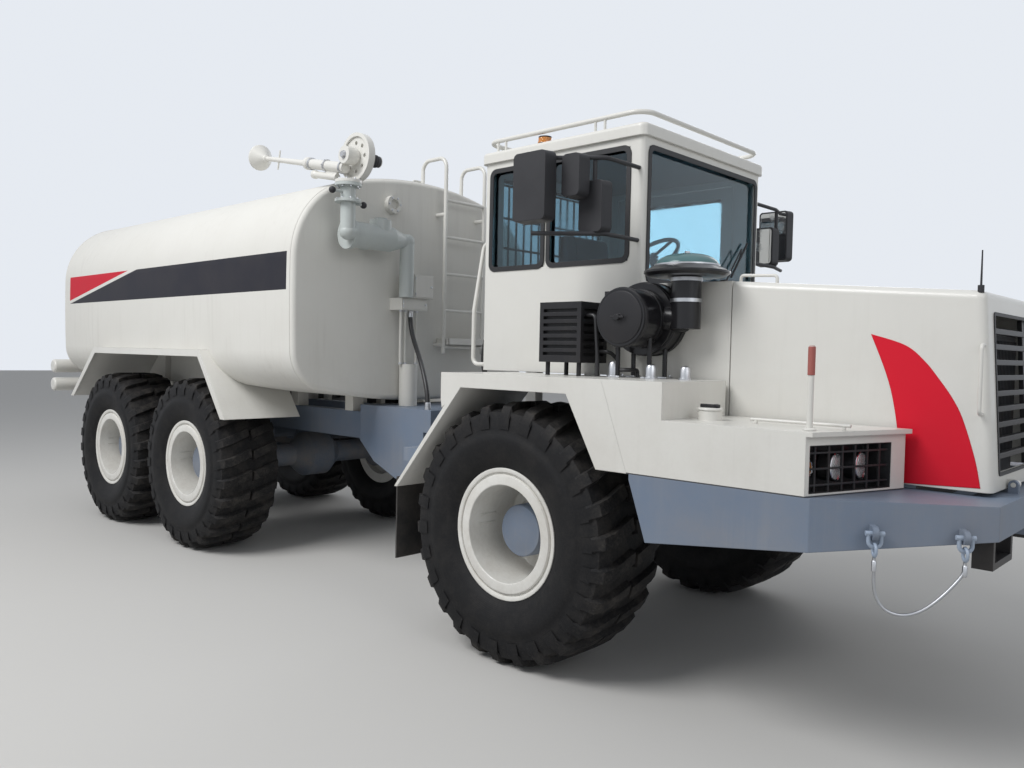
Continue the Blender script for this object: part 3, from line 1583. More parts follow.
    def build_controls(self) -> None:
        """Set levers, pedals and a side console beside the seat."""
        x, top_of_mat = ahead(self.seat_x), self.floor + 0.0101
        console = Forge("side_console")
        console.box((x - 0.16, -0.52, top_of_mat), (x + 0.34, -0.30, 2.32))
        console.piece("front_unit", PLASTIC, Slot.PLASTIC, bevel=0.02)
        levers = Forge("levers_and_pedals")
        for lever in (x + 0.10, x + 0.20):
            levers.bar((lever, -0.41, 2.31), (lever + 0.03, -0.41, 2.46), 0.008)
            levers.bar((lever + 0.03, -0.41, 2.45), (lever + 0.034, -0.41, 2.50), 0.022, 16, 0.018)
        for y in (-0.16, 0.16):
            levers.bar((x + 0.66, y, top_of_mat), (x + 0.60, y, 1.93), 0.012)
            levers.box((x + 0.585, y - 0.045, 1.925), (x + 0.615, y + 0.045, 2.005))
        levers.piece("front_unit", PLASTIC, Slot.PLASTIC, bevel=0.003)

    def build_rear_guard(self) -> None:
        """Bolt a guard of slim bars behind the rear window."""
        wall, x = ahead(self.rear), ahead(self.rear) - self.guard_behind
        low, high, half = self.guard_levels[0], self.guard_levels[-1], self.guard_half
        forge = Forge("rear_window_guard")
        for step in range(self.guard_bars):
            y = (step - (self.guard_bars - 1) / 2) * self.guard_pitch
            forge.bar((x, y, low), (x, y, high), 0.008, 8)
        x += 0.009
        for z in self.guard_levels:
            forge.bar((x, -half, z), (x, half, z), 0.009, 8)
            for y in (-half, half):
                forge.bar((x, y, z), (wall - GAP, y, z), 0.010, 8)
        forge.piece("front_unit", BLACK, Slot.BLACK)

    def build_mirror_glass(self) -> None:
        """Let the silvered glasses into the mirrors' inner faces."""
        glass, rims = Forge("mirror_glasses"), Forge("mirror_rims")
        for side, rear, front, outer, low, high in self.mirror_heads:
            face = side * (outer - self.mirror_depth)
            outside, inside = (
                [(x, face, z) for x, z in round_frame((ahead(rear), low), (ahead(front), high), radius, grow)]
                for radius, grow in self.mirror_lines
            )
            rims.band(outside, inside, (0, -side * 0.006, 0))
            glass.prism([(x, y - side * 0.0003, z) for x, y, z in inside], (0, -side * 0.0025, 0))
        glass.piece("front_unit", MIRROR, Slot.GLASS)
        rims.piece("front_unit", PLASTIC, Slot.PLASTIC, bevel=0.002)

    def build_door_grip(self) -> None:
        """Put a grip with a lock on the left door."""
        x, y, z = spot(*self.grip)
        forge = Forge("door_grip")
        forge.box((x - 0.042, y - 0.012, z - 0.024), (x + 0.042, y + 0.006, z + 0.024))
        handle = [(x + along, y + out, z) for along, out in self.grip_line]
        forge.tube(rounded_path(handle, 0.012), 0.008, 10)
        forge.bar((x, y + 0.004, z - 0.016), (x, y + 0.010, z - 0.016), 0.006, 16)
        forge.piece("cab_door", PLASTIC, Slot.PLASTIC, bevel=0.002)


@dataclass
class Seat:
    """A sprung driver's seat in place of the plain cushion."""

    x: float = -0.330
    half: float = 0.250
    floor: float = 2.1403
    cushion: float = 0.120
    back_top: float = 0.620
    steps: int = 16

    def build(self) -> None:
        """Make the padded cushion and backrest as one piece."""
        forge = Forge("padded_seat")
        sections = []
        for step in range(self.steps + 1):
            share = step / self.steps
            side = min(1.0, (1 - abs(2 * share - 1)) * 4.5)
            crown = 0.016 * math.sin(math.pi * share) - 0.012 * (1 - side) ** 2
            sections.append(self.section(ahead(self.x), self.half * (2 * share - 1), side, crown))
        rings = [[forge.mesh.verts.new(point) for point in ring] for ring in sections]
        forge.join_rings(rings)
        seat = forge.piece("front_unit", CLOTH, Slot.CLOTH, replaces=["seat_cushion"])
        piping = Forge("seat_piping")
        for ring in (sections[2], sections[-3]):
            piping.tube(ring, 0.004, 8, closed=True)
        piping.piece("front_unit", SEAL, Slot.CLOTH)

    def section(self, x: float, y: float, side: float, crown: float) -> list[Vector]:
        """Return the seat's side outline at one width.

        Args:
            x: The seat's middle.
            y: The width place.
            side: How full the outline is, from 0 at the edge to 1.
            crown: How far the padding swells.

        Returns:
            The outline's points in order.
        """
        shrink = 0.022 * (1 - side) ** 2
        low, head = self.floor, self.floor + self.back_top
        back = x - self.half + shrink
        front = x + self.half - shrink
        top = low + self.cushion + crown - shrink * 0.6
        rest = x - self.half + 0.120 + crown * 0.9 - shrink
        outline = [
            (back, low), (front - 0.02, low), (front, low + 0.030), (front, top - 0.045),
            (front - 0.012, top - 0.014), (front - 0.045, top), (x + 0.05, top - 0.010),
            (rest + 0.05, top - 0.004), (rest + 0.012, top + 0.02), (rest + 0.006, top + 0.10),
            (rest + 0.016, top + 0.20), (rest + 0.002, top + 0.34), (rest - 0.008, head - 0.05),
            (rest - 0.03, head - 0.012), (rest - 0.065, head - shrink * 0.5),
            (back + 0.03, head - 0.008), (back + 0.006, head - 0.04), (back, low + 0.32),
        ]
        return [Vector((px, y, pz)) for px, pz in outline]


@dataclass
class DeckGear:
    """The air cleaner's bands, the rain cap's bowl and the small canisters on the right deck."""

    drum: tuple[float, float] = (0.644, 2.100)
    bands: Outline = ((-1.128, 0.165), (-0.905, 0.210))
    band_section: Outline = (
        (-0.016, -0.004), (-0.016, 0.003), (-0.010, 0.006), (0.010, 0.006), (0.016, 0.003), (0.016, -0.004),
    )
    lug_share: float = 0.72
    cover: Outline = (
        (-1.1498, 0.0), (-1.1498, 0.150), (-1.156, 0.148), (-1.160, 0.120), (-1.163, 0.05), (-1.164, 0.0),
    )
    feet_x: tuple[float, float] = (-0.110, 0.110)
    feet_y: tuple[float, float] = (-1.010, -0.850)
    foot_half: float = 0.035
    foot_top: float = 0.010
    stack: tuple[float, float] = (0.915, -0.900)
    bowl: Outline = (
        (2.3960, 0.1790), (2.4060, 0.1755), (2.4190, 0.1675), (2.4350, 0.1480), (2.4482, 0.1235),
        (2.4560, 0.0950), (2.4582, 0.0650), (2.4590, 0.0),
    )
    clamp: Outline = ((2.392, 0.1772), (2.392, 0.1830), (2.400, 0.1830), (2.400, 0.1772))
    cuff_z: tuple[float, float] = (2.200, 2.318)
    cuff_section: Outline = (
        (-0.010, 0.084), (-0.010, 0.0895), (0.010, 0.0895), (0.010, 0.084),
    )
    deck: float = 1.755
    canisters: tuple[tuple[float, float, float, float], ...] = (
        (0.500, -1.000, 0.034, 1.850), (0.800, -1.060, 0.030, 1.838), (0.985, -1.000, 0.030, 1.832),
    )
    pipes: tuple[tuple[Point, ...], ...] = (
        ((0.530, -1.000, 1.800), (0.600, -1.000, 1.800), (0.600, -0.900, 1.800), (0.600, -0.900, 1.757)),
        ((0.340, -0.950, 1.905), (0.430, -0.950, 1.905), (0.430, -0.870, 1.860), (0.430, -0.870, 1.757)),
        ((0.340, -1.060, 2.120), (0.400, -1.060, 2.120), (0.420, -1.060, 1.900), (0.420, -1.060, 1.757)),
    )
    pipe_bend: float = 0.030
    pipe_radius: float = 0.012

    def build(self) -> None:
        """Make the deck's gear."""
        self.build_bands()
        self.build_cover()
        self.build_feet()
        self.build_bowl()
        self.build_canisters()

    def build_bands(self) -> None:
        """Clamp a band with its lug round each end of the drum."""
        x, _, z = centre = spot(self.drum[0], 0.0, self.drum[1])
        forge = Forge("cleaner_bands")
        for y, radius in self.bands:
            ring = [(y + along, radius + out) for along, out in self.band_section]
            forge.lathe(ring, centre, (0, 1, 0), 56, closed=True)
            lug_x, lug_z = x - radius * self.lug_share, z + radius * self.lug_share
            forge.box((lug_x, y - 0.012, lug_z), (lug_x + 0.03, y + 0.012, lug_z + 0.03))
        forge.piece("front_unit", BLACK, Slot.BLACK)

    def build_cover(self) -> None:
        """Close the drum's outer end with a cover and its wing nut."""
        x, _, z = centre = spot(self.drum[0], 0.0, self.drum[1])
        cover = Forge("cleaner_cover")
        cover.lathe(self.cover, centre, (0, 1, 0), 48)
        cover.bar((x, -1.162, z), (x, -1.190, z), 0.018)
        cover.box((x - 0.045, -1.187, z - 0.006), (x + 0.045, -1.177, z + 0.006))
        cover.piece("front_unit", BLACK, Slot.BLACK, bevel=0.002)

    def build_feet(self) -> None:
        """Stand the drum on four bolted feet."""
        feet = Forge("cleaner_feet")
        half, top, nut = self.foot_half, self.deck + self.foot_top, 0.022
        for across in self.feet_x:
            x = ahead(self.drum[0] + across)
            for y in self.feet_y:
                feet.box((x - half, y - half, self.deck + LIFT), (x + half, y + half, top))
                feet.nut((x + nut, y + nut, top), (0, 0, 1), 0.016, 0.010)
        feet.piece("front_unit", STEEL, Slot.STEEL, bevel=0.001)

    def build_bowl(self) -> None:
        """Set the smoked bowl on the rain cap, with its clamp, nut and cuffs."""
        centre = spot(*self.stack, 0.0)
        forge = Forge("rain_cap_bowl")
        forge.lathe(self.bowl, centre, (0, 0, 1), 64)
        forge.piece("front_unit", BOWL, Slot.GLASS)
        nut = Forge("rain_cap_nut")
        nut.nut(spot(*self.stack, self.bowl[-1][0] + GAP), (0, 0, 1), 0.030, 0.018)
        nut.lathe(self.clamp, centre, (0, 0, 1), 64, closed=True)
        for z in self.cuff_z:
            nut.lathe([(z + along, radius) for along, radius in self.cuff_section], centre, (0, 0, 1), 40, closed=True)
        nut.piece("front_unit", STEEL, Slot.STEEL)

    def build_canisters(self) -> None:
        """Stand filters and valves on the deck and pipe them together."""
        steel = Forge("deck_canisters")
        base = self.deck + 2 * GAP
        for x, y, radius, top in self.canisters:
            profile = [(base, 0.0), (base, radius * 1.25), (base + 0.010, radius * 1.25), (base + 0.012, radius)]
            profile += [(top - 0.020, radius), (top - 0.006, radius * 0.8), (top, radius * 0.4), (top, 0.0)]
            steel.lathe(profile, spot(x, y, 0.0), (0, 0, 1), 28)
        steel.piece("front_unit", STEEL, Slot.STEEL)
        pipes = Forge("deck_pipes")
        for corners in self.pipes:
            pipes.tube(rounded_path([spot(*corner) for corner in corners], self.pipe_bend), self.pipe_radius)
        pipes.piece("front_unit", HOSE, Slot.PLASTIC)


@dataclass
class SideBoxes:
    """What sits in and on the two side boxes: lamp recesses, lamps, filler caps and marker rods."""

    half_width: float = 1.450
    outer_front: float = 1.880
    slant: float = 0.328125
    recess: tuple[float, float] = (0.9054, 1.4246)
    recess_z: tuple[float, float] = (1.2853, 1.4997)
    recess_edge: float = 0.001
    recess_depth: float = 0.130
    skin: float = 0.003
    lamps: Outline = ((1.040, 0.068), (1.200, 0.068), (1.370, 0.040))
    small_lamp: float = 0.050
    lamp_back: float = 0.045
    filler: Point = (1.260, 1.200, 1.6120)
    filler_cap: Outline = (
        (0.0003, 0.0), (0.0003, 0.064), (0.010, 0.064), (0.014, 0.058), (0.014, 0.0),
    )
    marker: tuple[float, float] = (1.850, 1.350)
    marker_sleeve: Outline = (
        (1.812, 0.0141), (1.812, 0.0165), (1.938, 0.0165), (1.9455, 0.011), (1.9458, 0.0),
    )
    marker_foot: Outline = (
        (1.5624, 0.0142), (1.5624, 0.030), (1.568, 0.030), (1.574, 0.019), (1.574, 0.0142),
    )

    def front(self, y: float, back: float) -> float:
        """Return the X place at a width, moved back from the boxes' slanted front."""
        return ahead(self.outer_front + self.slant * (self.half_width - y) - back)

    def build(self) -> None:
        """Dress both boxes."""
        for side in Side:
            self.build_recess(side)
            self.build_lamps(side)
        self.build_fillers()
        self.build_markers()

    def build_recess(self, side: Side) -> None:
        """Line the lamp recess in black.

        Args:
            side: The box's side.
        """
        (near, far), (low, high) = self.recess, self.recess_z
        edge, deep, skin = self.recess_edge, self.recess_depth, self.skin
        level = ((near, edge), (far, edge), (far, deep), (near, deep))
        upright = ((near, deep), (far, deep), (far, deep - skin), (near, deep - skin))
        lining = Forge(f"recess_lining_{side.name.lower()}")
        for corners, z, height in ((level, low, skin), (level, high - skin, skin), (upright, low, high - low)):
            outline = [(self.front(y, back), side.value * y, z) for y, back in corners]
            lining.prism(outline, (0, 0, height))
        for y, inner in ((near, near + skin), (far, far - skin)):
            corners = ((edge, y), (deep, y), (deep, inner), (edge, inner))
            wall = [(self.front(y, back), side.value * across, low) for back, across in corners]
            lining.prism(wall, (0, 0, high - low))
        lining.piece("front_unit", BLACK, Slot.BLACK)

    def build_lamps(self, side: Side) -> None:
        """Give each lamp a bright ring, a reflector and a lens.

        Args:
            side: The box's side.
        """
        label, middle, axis = side.name.lower(), sum(self.recess_z) / 2, (1, 0, 0)
        rings = Forge(f"lamp_rings_{label}")
        clear = Forge(f"headlamp_lenses_{label}")
        amber = Forge(f"indicator_lens_{label}")
        for y, radius in self.lamps:
            centre = (self.front(y, self.lamp_back), side.value * y, middle)
            inner, bowl, lens = radius - 0.009, radius - 0.010, radius - 0.0095
            ring = [(LIFT, inner), (LIFT, radius), (0.0025, radius - 0.001), (0.0035, radius - 0.005), (0.001, inner)]
            rings.lathe(ring, centre, axis, 40, closed=True)
            rings.lathe([(LIFT, 0.0), (LIFT, bowl), (0.0007, bowl), (0.0007, 0.0)], centre, axis, 32)
            profile = [(0.0010, 0.0), (0.0010, lens), (0.0026, lens - 0.002), (0.0058, lens * 0.62), (0.0074, 0.0)]
            (amber if radius < self.small_lamp else clear).lathe(profile, centre, axis, 40)
        rings.piece("front_unit", CHROME, Slot.LAMP)
        clear.piece("front_unit", CLEAR, Slot.LAMP)
        amber.piece("front_unit", AMBER, Slot.LAMP)

    def build_fillers(self) -> None:
        """Cap the fillers and lay a catch over each."""
        caps, catches = Forge("filler_caps"), Forge("filler_catches")
        for side in Side:
            x, y, z = spot(self.filler[0], side.value * self.filler[1], self.filler[2])
            caps.lathe(self.filler_cap, (x, y, z), (0, 0, 1), 40)
            caps.bar((x - 0.068, y, z - 0.012), (x - 0.068, y, z + 0.010), 0.009, 12)
            catches.box((x - 0.052, y - 0.014, z + 0.0142), (x + 0.050, y + 0.014, z + 0.032))
            catches.bar((x + 0.032, y - 0.020, z + 0.026), (x + 0.032, y + 0.020, z + 0.026), 0.008, 12)
        caps.piece("front_unit", WHITE, Slot.BODY, bevel=0.002)
        catches.piece("front_unit", BLACK, Slot.BLACK, bevel=0.003)

    def build_markers(self) -> None:
        """Sleeve the marker rods' tops in red and bolt down their feet."""
        x, y = self.marker
        sleeves, feet = Forge("marker_sleeves"), Forge("marker_feet")
        for side in Side:
            place = spot(x, side.value * y, 0.0)
            sleeves.lathe(self.marker_sleeve, place, (0, 0, 1), 20)
            feet.lathe(self.marker_foot, place, (0, 0, 1), 24, closed=True)
        sleeves.piece("front_unit", FADED_RED, Slot.BODY)
        feet.piece("front_unit", WHITE, Slot.BODY)


@dataclass
class TankTrim:
    """Weld beads, lid bolts, port bolts, the ladder's tread and the control boxes' fittings."""

    head: float = -2.360
    rear: float = -7.240
    round_off: float = 0.040
    middle_z: float = 2.420
    least_radius: float = 0.700
    bead: float = 0.0045
    port: Point = (-2.3048, -0.400, 3.150)
    port_circle: float = 0.060
    lid: Point = (-3.050, 0.330, 3.4855)
    lid_circle: float = 0.272
    tread_x: tuple[float, float] = (-2.3590, -2.1900)
    tread_y: tuple[float, float] = (0.1520, 0.5980)
    tread_z: tuple[float, float, float] = (1.9480, 1.9560, 2.0100)
    tread_lip: float = 0.0080
    boxes: tuple[tuple[float, tuple[float, float], tuple[float, float]], ...] = (
        (-2.150, (-0.300, -0.080), (2.345, 2.550)),
        (-2.190, (-0.400, -0.110), (2.240, 2.345)),
    )
    union_x: float = -2.265
    union_y: tuple[float, ...] = (-0.350, -0.300, -0.175)
    union_z: tuple[float, float] = (2.226, 1.772)
    knob: Point = (-2.245, -0.080, 2.500)

    def build(self) -> None:
        """Make the tank's trim."""
        self.build_beads()
        self.build_bolts()
        self.build_tread()
        self.build_boxes()

    def section(self, at: float) -> list[Vector]:
        """Read the tank's outline in a plane across it.

        Args:
            at: The plane's X place.

        Returns:
            The outline's points in order round the tank.
        """
        points = [vertex.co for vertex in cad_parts["tank"].data.vertices]
        ring = {(round(point.y, 4), round(point.z, 4)) for point in points if abs(point.x - at) < 0.0008}
        outline = [(y, z) for y, z in ring if math.hypot(y, z - self.middle_z) > self.least_radius]
        outline.sort(key=lambda point: math.atan2(point[1] - self.middle_z, point[0]))
        return [Vector((at, y, z)) for y, z in outline]

    def build_beads(self) -> None:
        """Run a weld bead round each head where its rounding starts."""
        forge = Forge("head_weld_beads")
        for at in (self.head - self.round_off, self.rear + self.round_off):
            forge.tube(self.section(ahead(at)), self.bead, 6, closed=True)
        forge.piece("rear_unit", TANK_WHITE, Slot.TANK)

    def build_bolts(self) -> None:
        """Bolt the port's ring and the manhole's lid."""
        port, along = Forge("port_bolts"), (1, 0, 0)
        port.nuts(round_places(spot(*self.port), along, self.port_circle, 6), along, 0.016, 0.008)
        port.piece("rear_unit", STEEL, Slot.STEEL)
        lid, upward = Forge("lid_clamps"), (0, 0, 1)
        lid.nuts(round_places(spot(*self.lid), upward, self.lid_circle, 8, 0.5), upward, 0.030, 0.020)
        lid.piece("manhole_lid", STEEL, Slot.STEEL)

    def build_tread(self) -> None:
        """Put the broad tread at the ladder's foot and anti-slip bars on it."""
        (back, front), (right, left), (low, top, rim) = self.tread_x, self.tread_y, self.tread_z
        lip, above = self.tread_lip, low + GAP
        forge = Forge("ladder_tread")
        forge.box(spot(back, right, low), spot(front, left, top))
        forge.box(spot(front - lip, right, above), spot(front, left, rim))
        for y in (right, left - lip):
            forge.box(spot(back, y, above), spot(front, y + lip, rim))
        for step in range(7):
            x = back + 0.019 + step * 0.020
            forge.box(spot(x, right + 0.018, top - GAP), spot(x + 0.006, left - 0.018, top + 0.004))
        forge.piece("rear_unit", WHITE, Slot.BODY, bevel=0.0015)

    def build_boxes(self) -> None:
        """Fit doors, hinges and knobs to the control boxes, and unions under them."""
        doors, fittings, knobs = Forge("control_box_doors"), Forge("control_box_fittings"), Forge("control_box_knobs")
        for face, (near, far), (low, high) in self.boxes:
            x = ahead(face) + LIFT
            outline = [(x, y, z) for y, z in round_frame((near, low), (far, high), 0.008, -0.010)]
            doors.prism(outline, (0.006, 0, 0))
            x += 0.006
            lock, hinge, middle = far - 0.030, near + 0.012, (low + high) / 2
            fittings.bar((x, lock, middle), (x + 0.008, lock, middle), 0.009, 16)
            for z in (low + 0.035, high - 0.035):
                fittings.bar((x, hinge, z - 0.012), (x, hinge, z + 0.012), 0.005, 10)
        doors.piece("rear_unit", WHITE, Slot.BODY, bevel=0.002)
        for y in self.union_y:
            for z in self.union_z:
                fittings.bar(spot(self.union_x, y, z), spot(self.union_x, y, z + 0.014), 0.018, 6)
        fittings.piece("rear_unit", STEEL, Slot.STEEL)
        x, y, z = self.knob
        knobs.bar(spot(x, y + LIFT, z), spot(x, y + 0.030, z), 0.007, 12)
        knobs.bar(spot(x, y + 0.026, z), spot(x, y + 0.050, z), 0.017, 16, 0.014)
        knobs.piece("rear_unit", PLASTIC, Slot.PLASTIC, bevel=0.001)


@dataclass
class WaterCannon:
    """Bolts, knobs and the motor's fins on the water cannon."""

    x: float = -2.100
    y: float = -1.040
    riser_bottom: float = 2.820
    riser_top: float = 3.200
    ring_z: float = 3.420
    valve_x: float = -2.170
    flange_circle: float = 0.086
    flange_nut: tuple[float, float] = (0.017, 0.011)
    valve_circle: float = 0.108
    valve_nut: tuple[float, float] = (0.015, 0.009)
    elbow_circle: float = 0.075
    elbow_nut: tuple[float, float] = (0.014, 0.008)
    knob_radius: float = 0.0275
    knob_reach: float = 0.150
    knob_levels: tuple[float, float] = (0.310, 0.230)
    motor_back: float = 0.115
    motor_radius: float = 0.0462
    fin_radius: float = 0.052
    fin_pitch: float = 0.017
    barrel_lift: float = 11.5
    coupling_places: tuple[float, ...] = (0.030, 0.250, 0.470)
    coupling_radius: float = 0.0425
    coupling_section: Outline = ((0.0, 0.0), (0.002, 0.008), (0.016, 0.008), (0.018, 0.0))

    def build(self) -> None:
        """Make the cannon's small parts."""
        self.build_riser_parts()
        self.build_ring_parts()
        self.build_barrel_parts()

    def build_riser_parts(self) -> None:
        """Bolt the riser's flanges and the valve, and put knobs on the levers."""
        bolts = Forge("riser_bolts")
        top = spot(self.x, self.y, self.riser_top)
        for x, y, z in round_places(top, (0, 0, 1), self.flange_circle, 8, 0.5):
            bolts.nut((x, y, z - 0.0242), (0, 0, -1), *self.flange_nut)
            bolts.nut((x, y, z - 0.1258), (0, 0, 1), *self.flange_nut)
        valve = spot(self.valve_x, self.y + 0.0752, self.riser_bottom)
        bolts.nuts(round_places(valve, (0, 1, 0), self.valve_circle, 8), (0, 1, 0), *self.valve_nut)
        elbow = spot(self.valve_x, self.y + 0.380, self.riser_bottom + 0.1452)
        bolts.nuts(round_places(elbow, (0, 0, 1), self.elbow_circle, 6), (0, 0, 1), *self.elbow_nut)
        bolts.piece("rear_unit", STEEL, Slot.STEEL)
        knobs = Forge("valve_knobs")
        turns = [math.pi * step / 10 for step in range(11)]
        ball = [(self.knob_radius * math.cos(turn), max(self.knob_radius * math.sin(turn), 0.0)) for turn in turns]
        for side, above in zip(Side, self.knob_levels):
            centre = spot(self.x, self.y + side.value * self.knob_reach, self.riser_bottom + above)
            knobs.lathe(ball, centre, (0, 1, 0), 24)
        knobs.piece("rear_unit", PLASTIC, Slot.PLASTIC)

    def build_ring_parts(self) -> None:
        """Bolt the swivel's flange, and put fins and a cable gland on the motor."""
        bolts = Forge("swivel_bolts")
        flange = spot(self.x, self.y, self.riser_top + 0.0245)
        bolts.nuts(round_places(flange, (0, 0, 1), self.flange_circle, 8), (0, 0, 1), *self.flange_nut)
        bolts.piece("cannon_swivel", STEEL, Slot.STEEL)
        motor = Forge("motor_jacket")
        back, low, high = self.motor_back, self.motor_radius, self.fin_radius
        profile = [(back + LIFT, 0.0), (back + LIFT, 0.058), (back + 0.012, 0.058), (back + 0.014, low)]
        for step in range(8):
            start = back + 0.022 + step * self.fin_pitch
            profile += [(start, low), (start + 0.001, high), (start + 0.006, high), (start + 0.007, low)]
        profile += [(back + 0.176, low), (back + 0.188, 0.040), (back + 0.1885, 0.0)]
        motor.lathe(profile, spot(self.x, self.y, self.ring_z), (0, 1, 0), 36)
        gland = self.y + back + 0.120
        motor.bar(spot(self.x, gland, self.ring_z + 0.044), spot(self.x, gland, self.ring_z + 0.072), 0.014, 12)
        motor.piece("cannon_swivel", CASTING, Slot.ENGINE)

    def build_barrel_parts(self) -> None:
        """Ring the barrel's couplings and put a nut on the trunnion."""
        lift = math.radians(self.barrel_lift)
        way = Vector((-math.cos(lift), 0, math.sin(lift)))
        root = Vector(spot(self.x - 0.040, self.y, self.ring_z - 0.092))
        rings = Forge("barrel_couplings")
        for reach in self.coupling_places:
            ring = [(reach + along, self.coupling_radius + out) for along, out in self.coupling_section]
            rings.lathe(ring, root, way, 32, closed=True)
        for step in range(6):
            out = Matrix.Rotation(2 * math.pi * step / 6, 3, way) @ Vector((0, 0.046, 0))
            rings.nut(root + way * 0.268 + out, way, 0.011, 0.007)
        rings.nut(spot(self.x, self.y - 0.0493, self.ring_z), (0, -1, 0), 0.052, 0.022)
        rings.piece("cannon_barrel", STEEL, Slot.STEEL)


@dataclass
class RearTrim:
    """Rings and lenses for the lamps on the rear bars, and the fill flange's bolts."""

    lamp_face: float = -7.500
    lamp_z: float = 1.230
    amber_lamp: float = 0.500
    red_lamps: tuple[float, float] = (0.655, 0.810)
    ring: Outline = ((0.0003, 0.046), (0.006, 0.046), (0.008, 0.041), (0.0003, 0.041))
    lens: Outline = (
        (0.0003, 0.0), (0.0003, 0.0405), (0.010, 0.0390), (0.017, 0.022), (0.019, 0.0),
    )
    flange: Point = (-7.290, -0.450, 2.000)
    bolt_circle: float = 0.120
    bolt_reach: tuple[float, float] = (-0.004, 0.030)
    bolt_radius: float = 0.0075
    nut_face: float = 0.0253

    def build(self) -> None:
        """Make the rear's trim."""
        self.build_lamps()
        self.build_bolts()

    def build_lamps(self) -> None:
        """Give each lamp its ring and its lens."""
        rings, red, amber = Forge("rear_lamp_rings"), Forge("rear_lamp_red"), Forge("rear_lamp_amber")
        for side in Side:
            for y in (self.amber_lamp, *self.red_lamps):
                centre = spot(self.lamp_face, side.value * y, self.lamp_z)
                rings.lathe(self.ring, centre, (-1, 0, 0), 32, closed=True)
                (red if y in self.red_lamps else amber).lathe(self.lens, centre, (-1, 0, 0), 32)
        rings.piece("rear_unit", CHROME, Slot.REAR_LAMP)
        red.piece("rear_unit", RED_LENS, Slot.REAR_LAMP)
        amber.piece("rear_unit", AMBER, Slot.REAR_LAMP)

    def build_bolts(self) -> None:
        """Put bolts and nuts round the fill flange."""
        bolts, along = Forge("flange_bolts"), Vector((1, 0, 0))
        start, end = (along * reach for reach in self.bolt_reach)
        for place in round_places(spot(*self.flange), along, self.bolt_circle, 8):
            middle = Vector(place)
            bolts.bar(middle + start, middle + end, self.bolt_radius, 10)
            bolts.nut(middle + along * self.nut_face, along, 0.018, 0.010)
        bolts.piece("rear_unit", STEEL, Slot.STEEL)


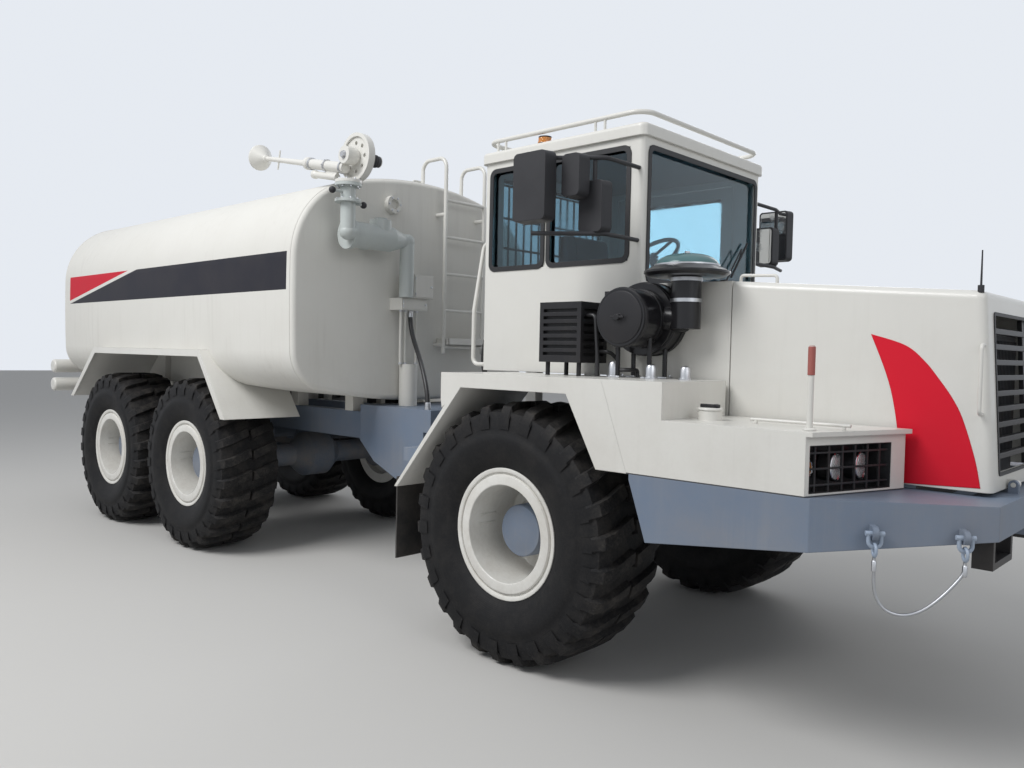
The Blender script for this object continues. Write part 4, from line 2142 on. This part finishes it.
@dataclass
class Cords:
    """The wire rope sling on the bumper, the hose under the control cabinet and the one behind the cab."""

    corner: tuple[float, float] = (1.905, -1.450)
    way: tuple[float, float] = (0.645, 0.440)
    out: float = 0.045
    sling_start: float = 0.266
    sling_route: Outline = (
        (0.0, 1.0353), (0.0, 0.965), (0.003, 0.895), (0.022, 0.838), (0.066, 0.800), (0.130, 0.790),
        (0.196, 0.812), (0.254, 0.857), (0.306, 0.912), (0.346, 0.962), (0.366, 0.995), (0.366, 1.0353),
    )
    rear_route: tuple[Point, ...] = (
        (-2.270, -0.240, 2.240), (-2.270, -0.240, 2.155), (-2.205, -0.268, 2.030), (-2.085, -0.320, 1.910),
        (-1.945, -0.382, 1.785), (-1.840, -0.425, 1.640), (-1.780, -0.448, 1.510), (-1.780, -0.448, 1.405),
    )
    front_route: tuple[Point, ...] = (
        (-0.860, -0.560, 2.060), (-0.930, -0.560, 2.060), (-1.000, -0.566, 1.985), (-1.035, -0.560, 1.850),
        (-1.042, -0.530, 1.720), (-1.025, -0.480, 1.590), (-0.975, -0.380, 1.480), (-0.975, -0.380, 1.400),
    )
    ferrule: Outline = (
        (-0.062, 0.0072), (-0.058, 0.0105), (-0.018, 0.0105), (-0.012, 0.0072),
    )
    collar: Outline = ((0.018, 0.0205), (0.018, 0.0250), (0.056, 0.0240), (0.060, 0.0205))

    def build(self) -> None:
        """Hang the sling and run both hoses."""
        self.build_sling()
        self.build_hoses()
        self.build_fittings()

    def line(
        self, name: str, points: Sequence[Point], diameter: float, body: str, finish: Finish, slot: Slot
    ) -> bpy.types.Object:
        """Make a smooth round line through control points.

        Args:
            name: The piece's name.
            points: The control points.
            diameter: The line's thickness.
            body: The body it rides on.
            finish: Its finish.
            slot: The record's slot for the finish.

        Returns:
            The curve's object.
        """
        curve = bpy.data.curves.new(name, "CURVE")
        curve.dimensions = "3D"
        spline = curve.splines.new("NURBS")
        spline.points.add(len(points) - 1)
        for knot, point in zip(spline.points, points):
            knot.co = (*point, 1.0)
        spline.order_u = 3
        spline.use_endpoint_u = True
        spline.resolution_u = 10
        curve.bevel_depth = diameter / 2
        curve.bevel_resolution = 6
        curve.use_fill_caps = True
        curve.materials.append(material_of(finish))
        piece = bpy.data.objects.new(name, curve)
        bpy.context.scene.collection.objects.link(piece)
        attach(piece, body)
        log.info("%s: a line of %d points on %s", name, len(points), body)
        return piece

    def build_sling(self) -> None:
        """Hang the wire rope between the shackles' eye rings, with a ferrule at each end."""
        along = Vector((*self.way, 0)).normalized()
        out = Vector((along.y, -along.x, 0)) * self.out
        start = Vector(spot(*self.corner, 0)) + out + along * self.sling_start
        points = [tuple(start + along * reach + Vector((0, 0, z))) for reach, z in self.sling_route]
        rope = self.line("wire_rope_sling", points, 0.014, "front_unit", WIRE, Slot.ROPE)
        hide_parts("sling")
        ferrules = Forge("sling_ferrules")
        for point in (points[0], points[-1]):
            ferrules.lathe(self.ferrule, point, (0, 0, 1), 16, closed=True)
        ferrules.piece("front_unit", STEEL, Slot.STEEL)

    def build_hoses(self) -> None:
        """Run a hose from the control cabinet to the frame, and one down behind the cab."""
        points = [spot(*point) for point in self.rear_route]
        rear = self.line("hose_to_frame", points, 0.040, "rear_unit", HOSE, Slot.HOSE)
        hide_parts("hose_rear")
        points = [spot(*point) for point in self.front_route]
        front = self.line("hose_behind_cab", points, 0.040, "front_unit", HOSE, Slot.HOSE)
        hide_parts("hose_front")

    def build_fittings(self) -> None:
        """Put swaged collars and hex unions at the hoses' ends."""
        for name, body, route in (
            ("rear_hose_ends", "rear_unit", self.rear_route),
            ("front_hose_ends", "front_unit", self.front_route),
        ):
            forge = Forge(name)
            points = [Vector(spot(*point)) for point in route]
            for foot, towards in (points[:2], points[:-3:-1]):
                way = (towards - foot).normalized()
                forge.bar(foot + way * 0.001, foot + way * 0.018, 0.029, 6)
                forge.lathe(self.collar, foot, way, 28, closed=True)
            forge.piece(body, STEEL, Slot.STEEL)


def main() -> None:
    """Build the scene's parts in order."""
    logging.basicConfig(level=logging.INFO, format="%(name)s: %(message)s")
    Studio().build()
    dress_nodes()
    for place in WHEEL_AXLES:
        for side in Side:
            Wheel(place, side).build()
    for part in (Cords(), Hood(), Cab(), Seat(), DeckGear(), SideBoxes(), TankTrim(), WaterCannon(), RearTrim()):
        part.build()


if __name__ == "__main__":
    main()
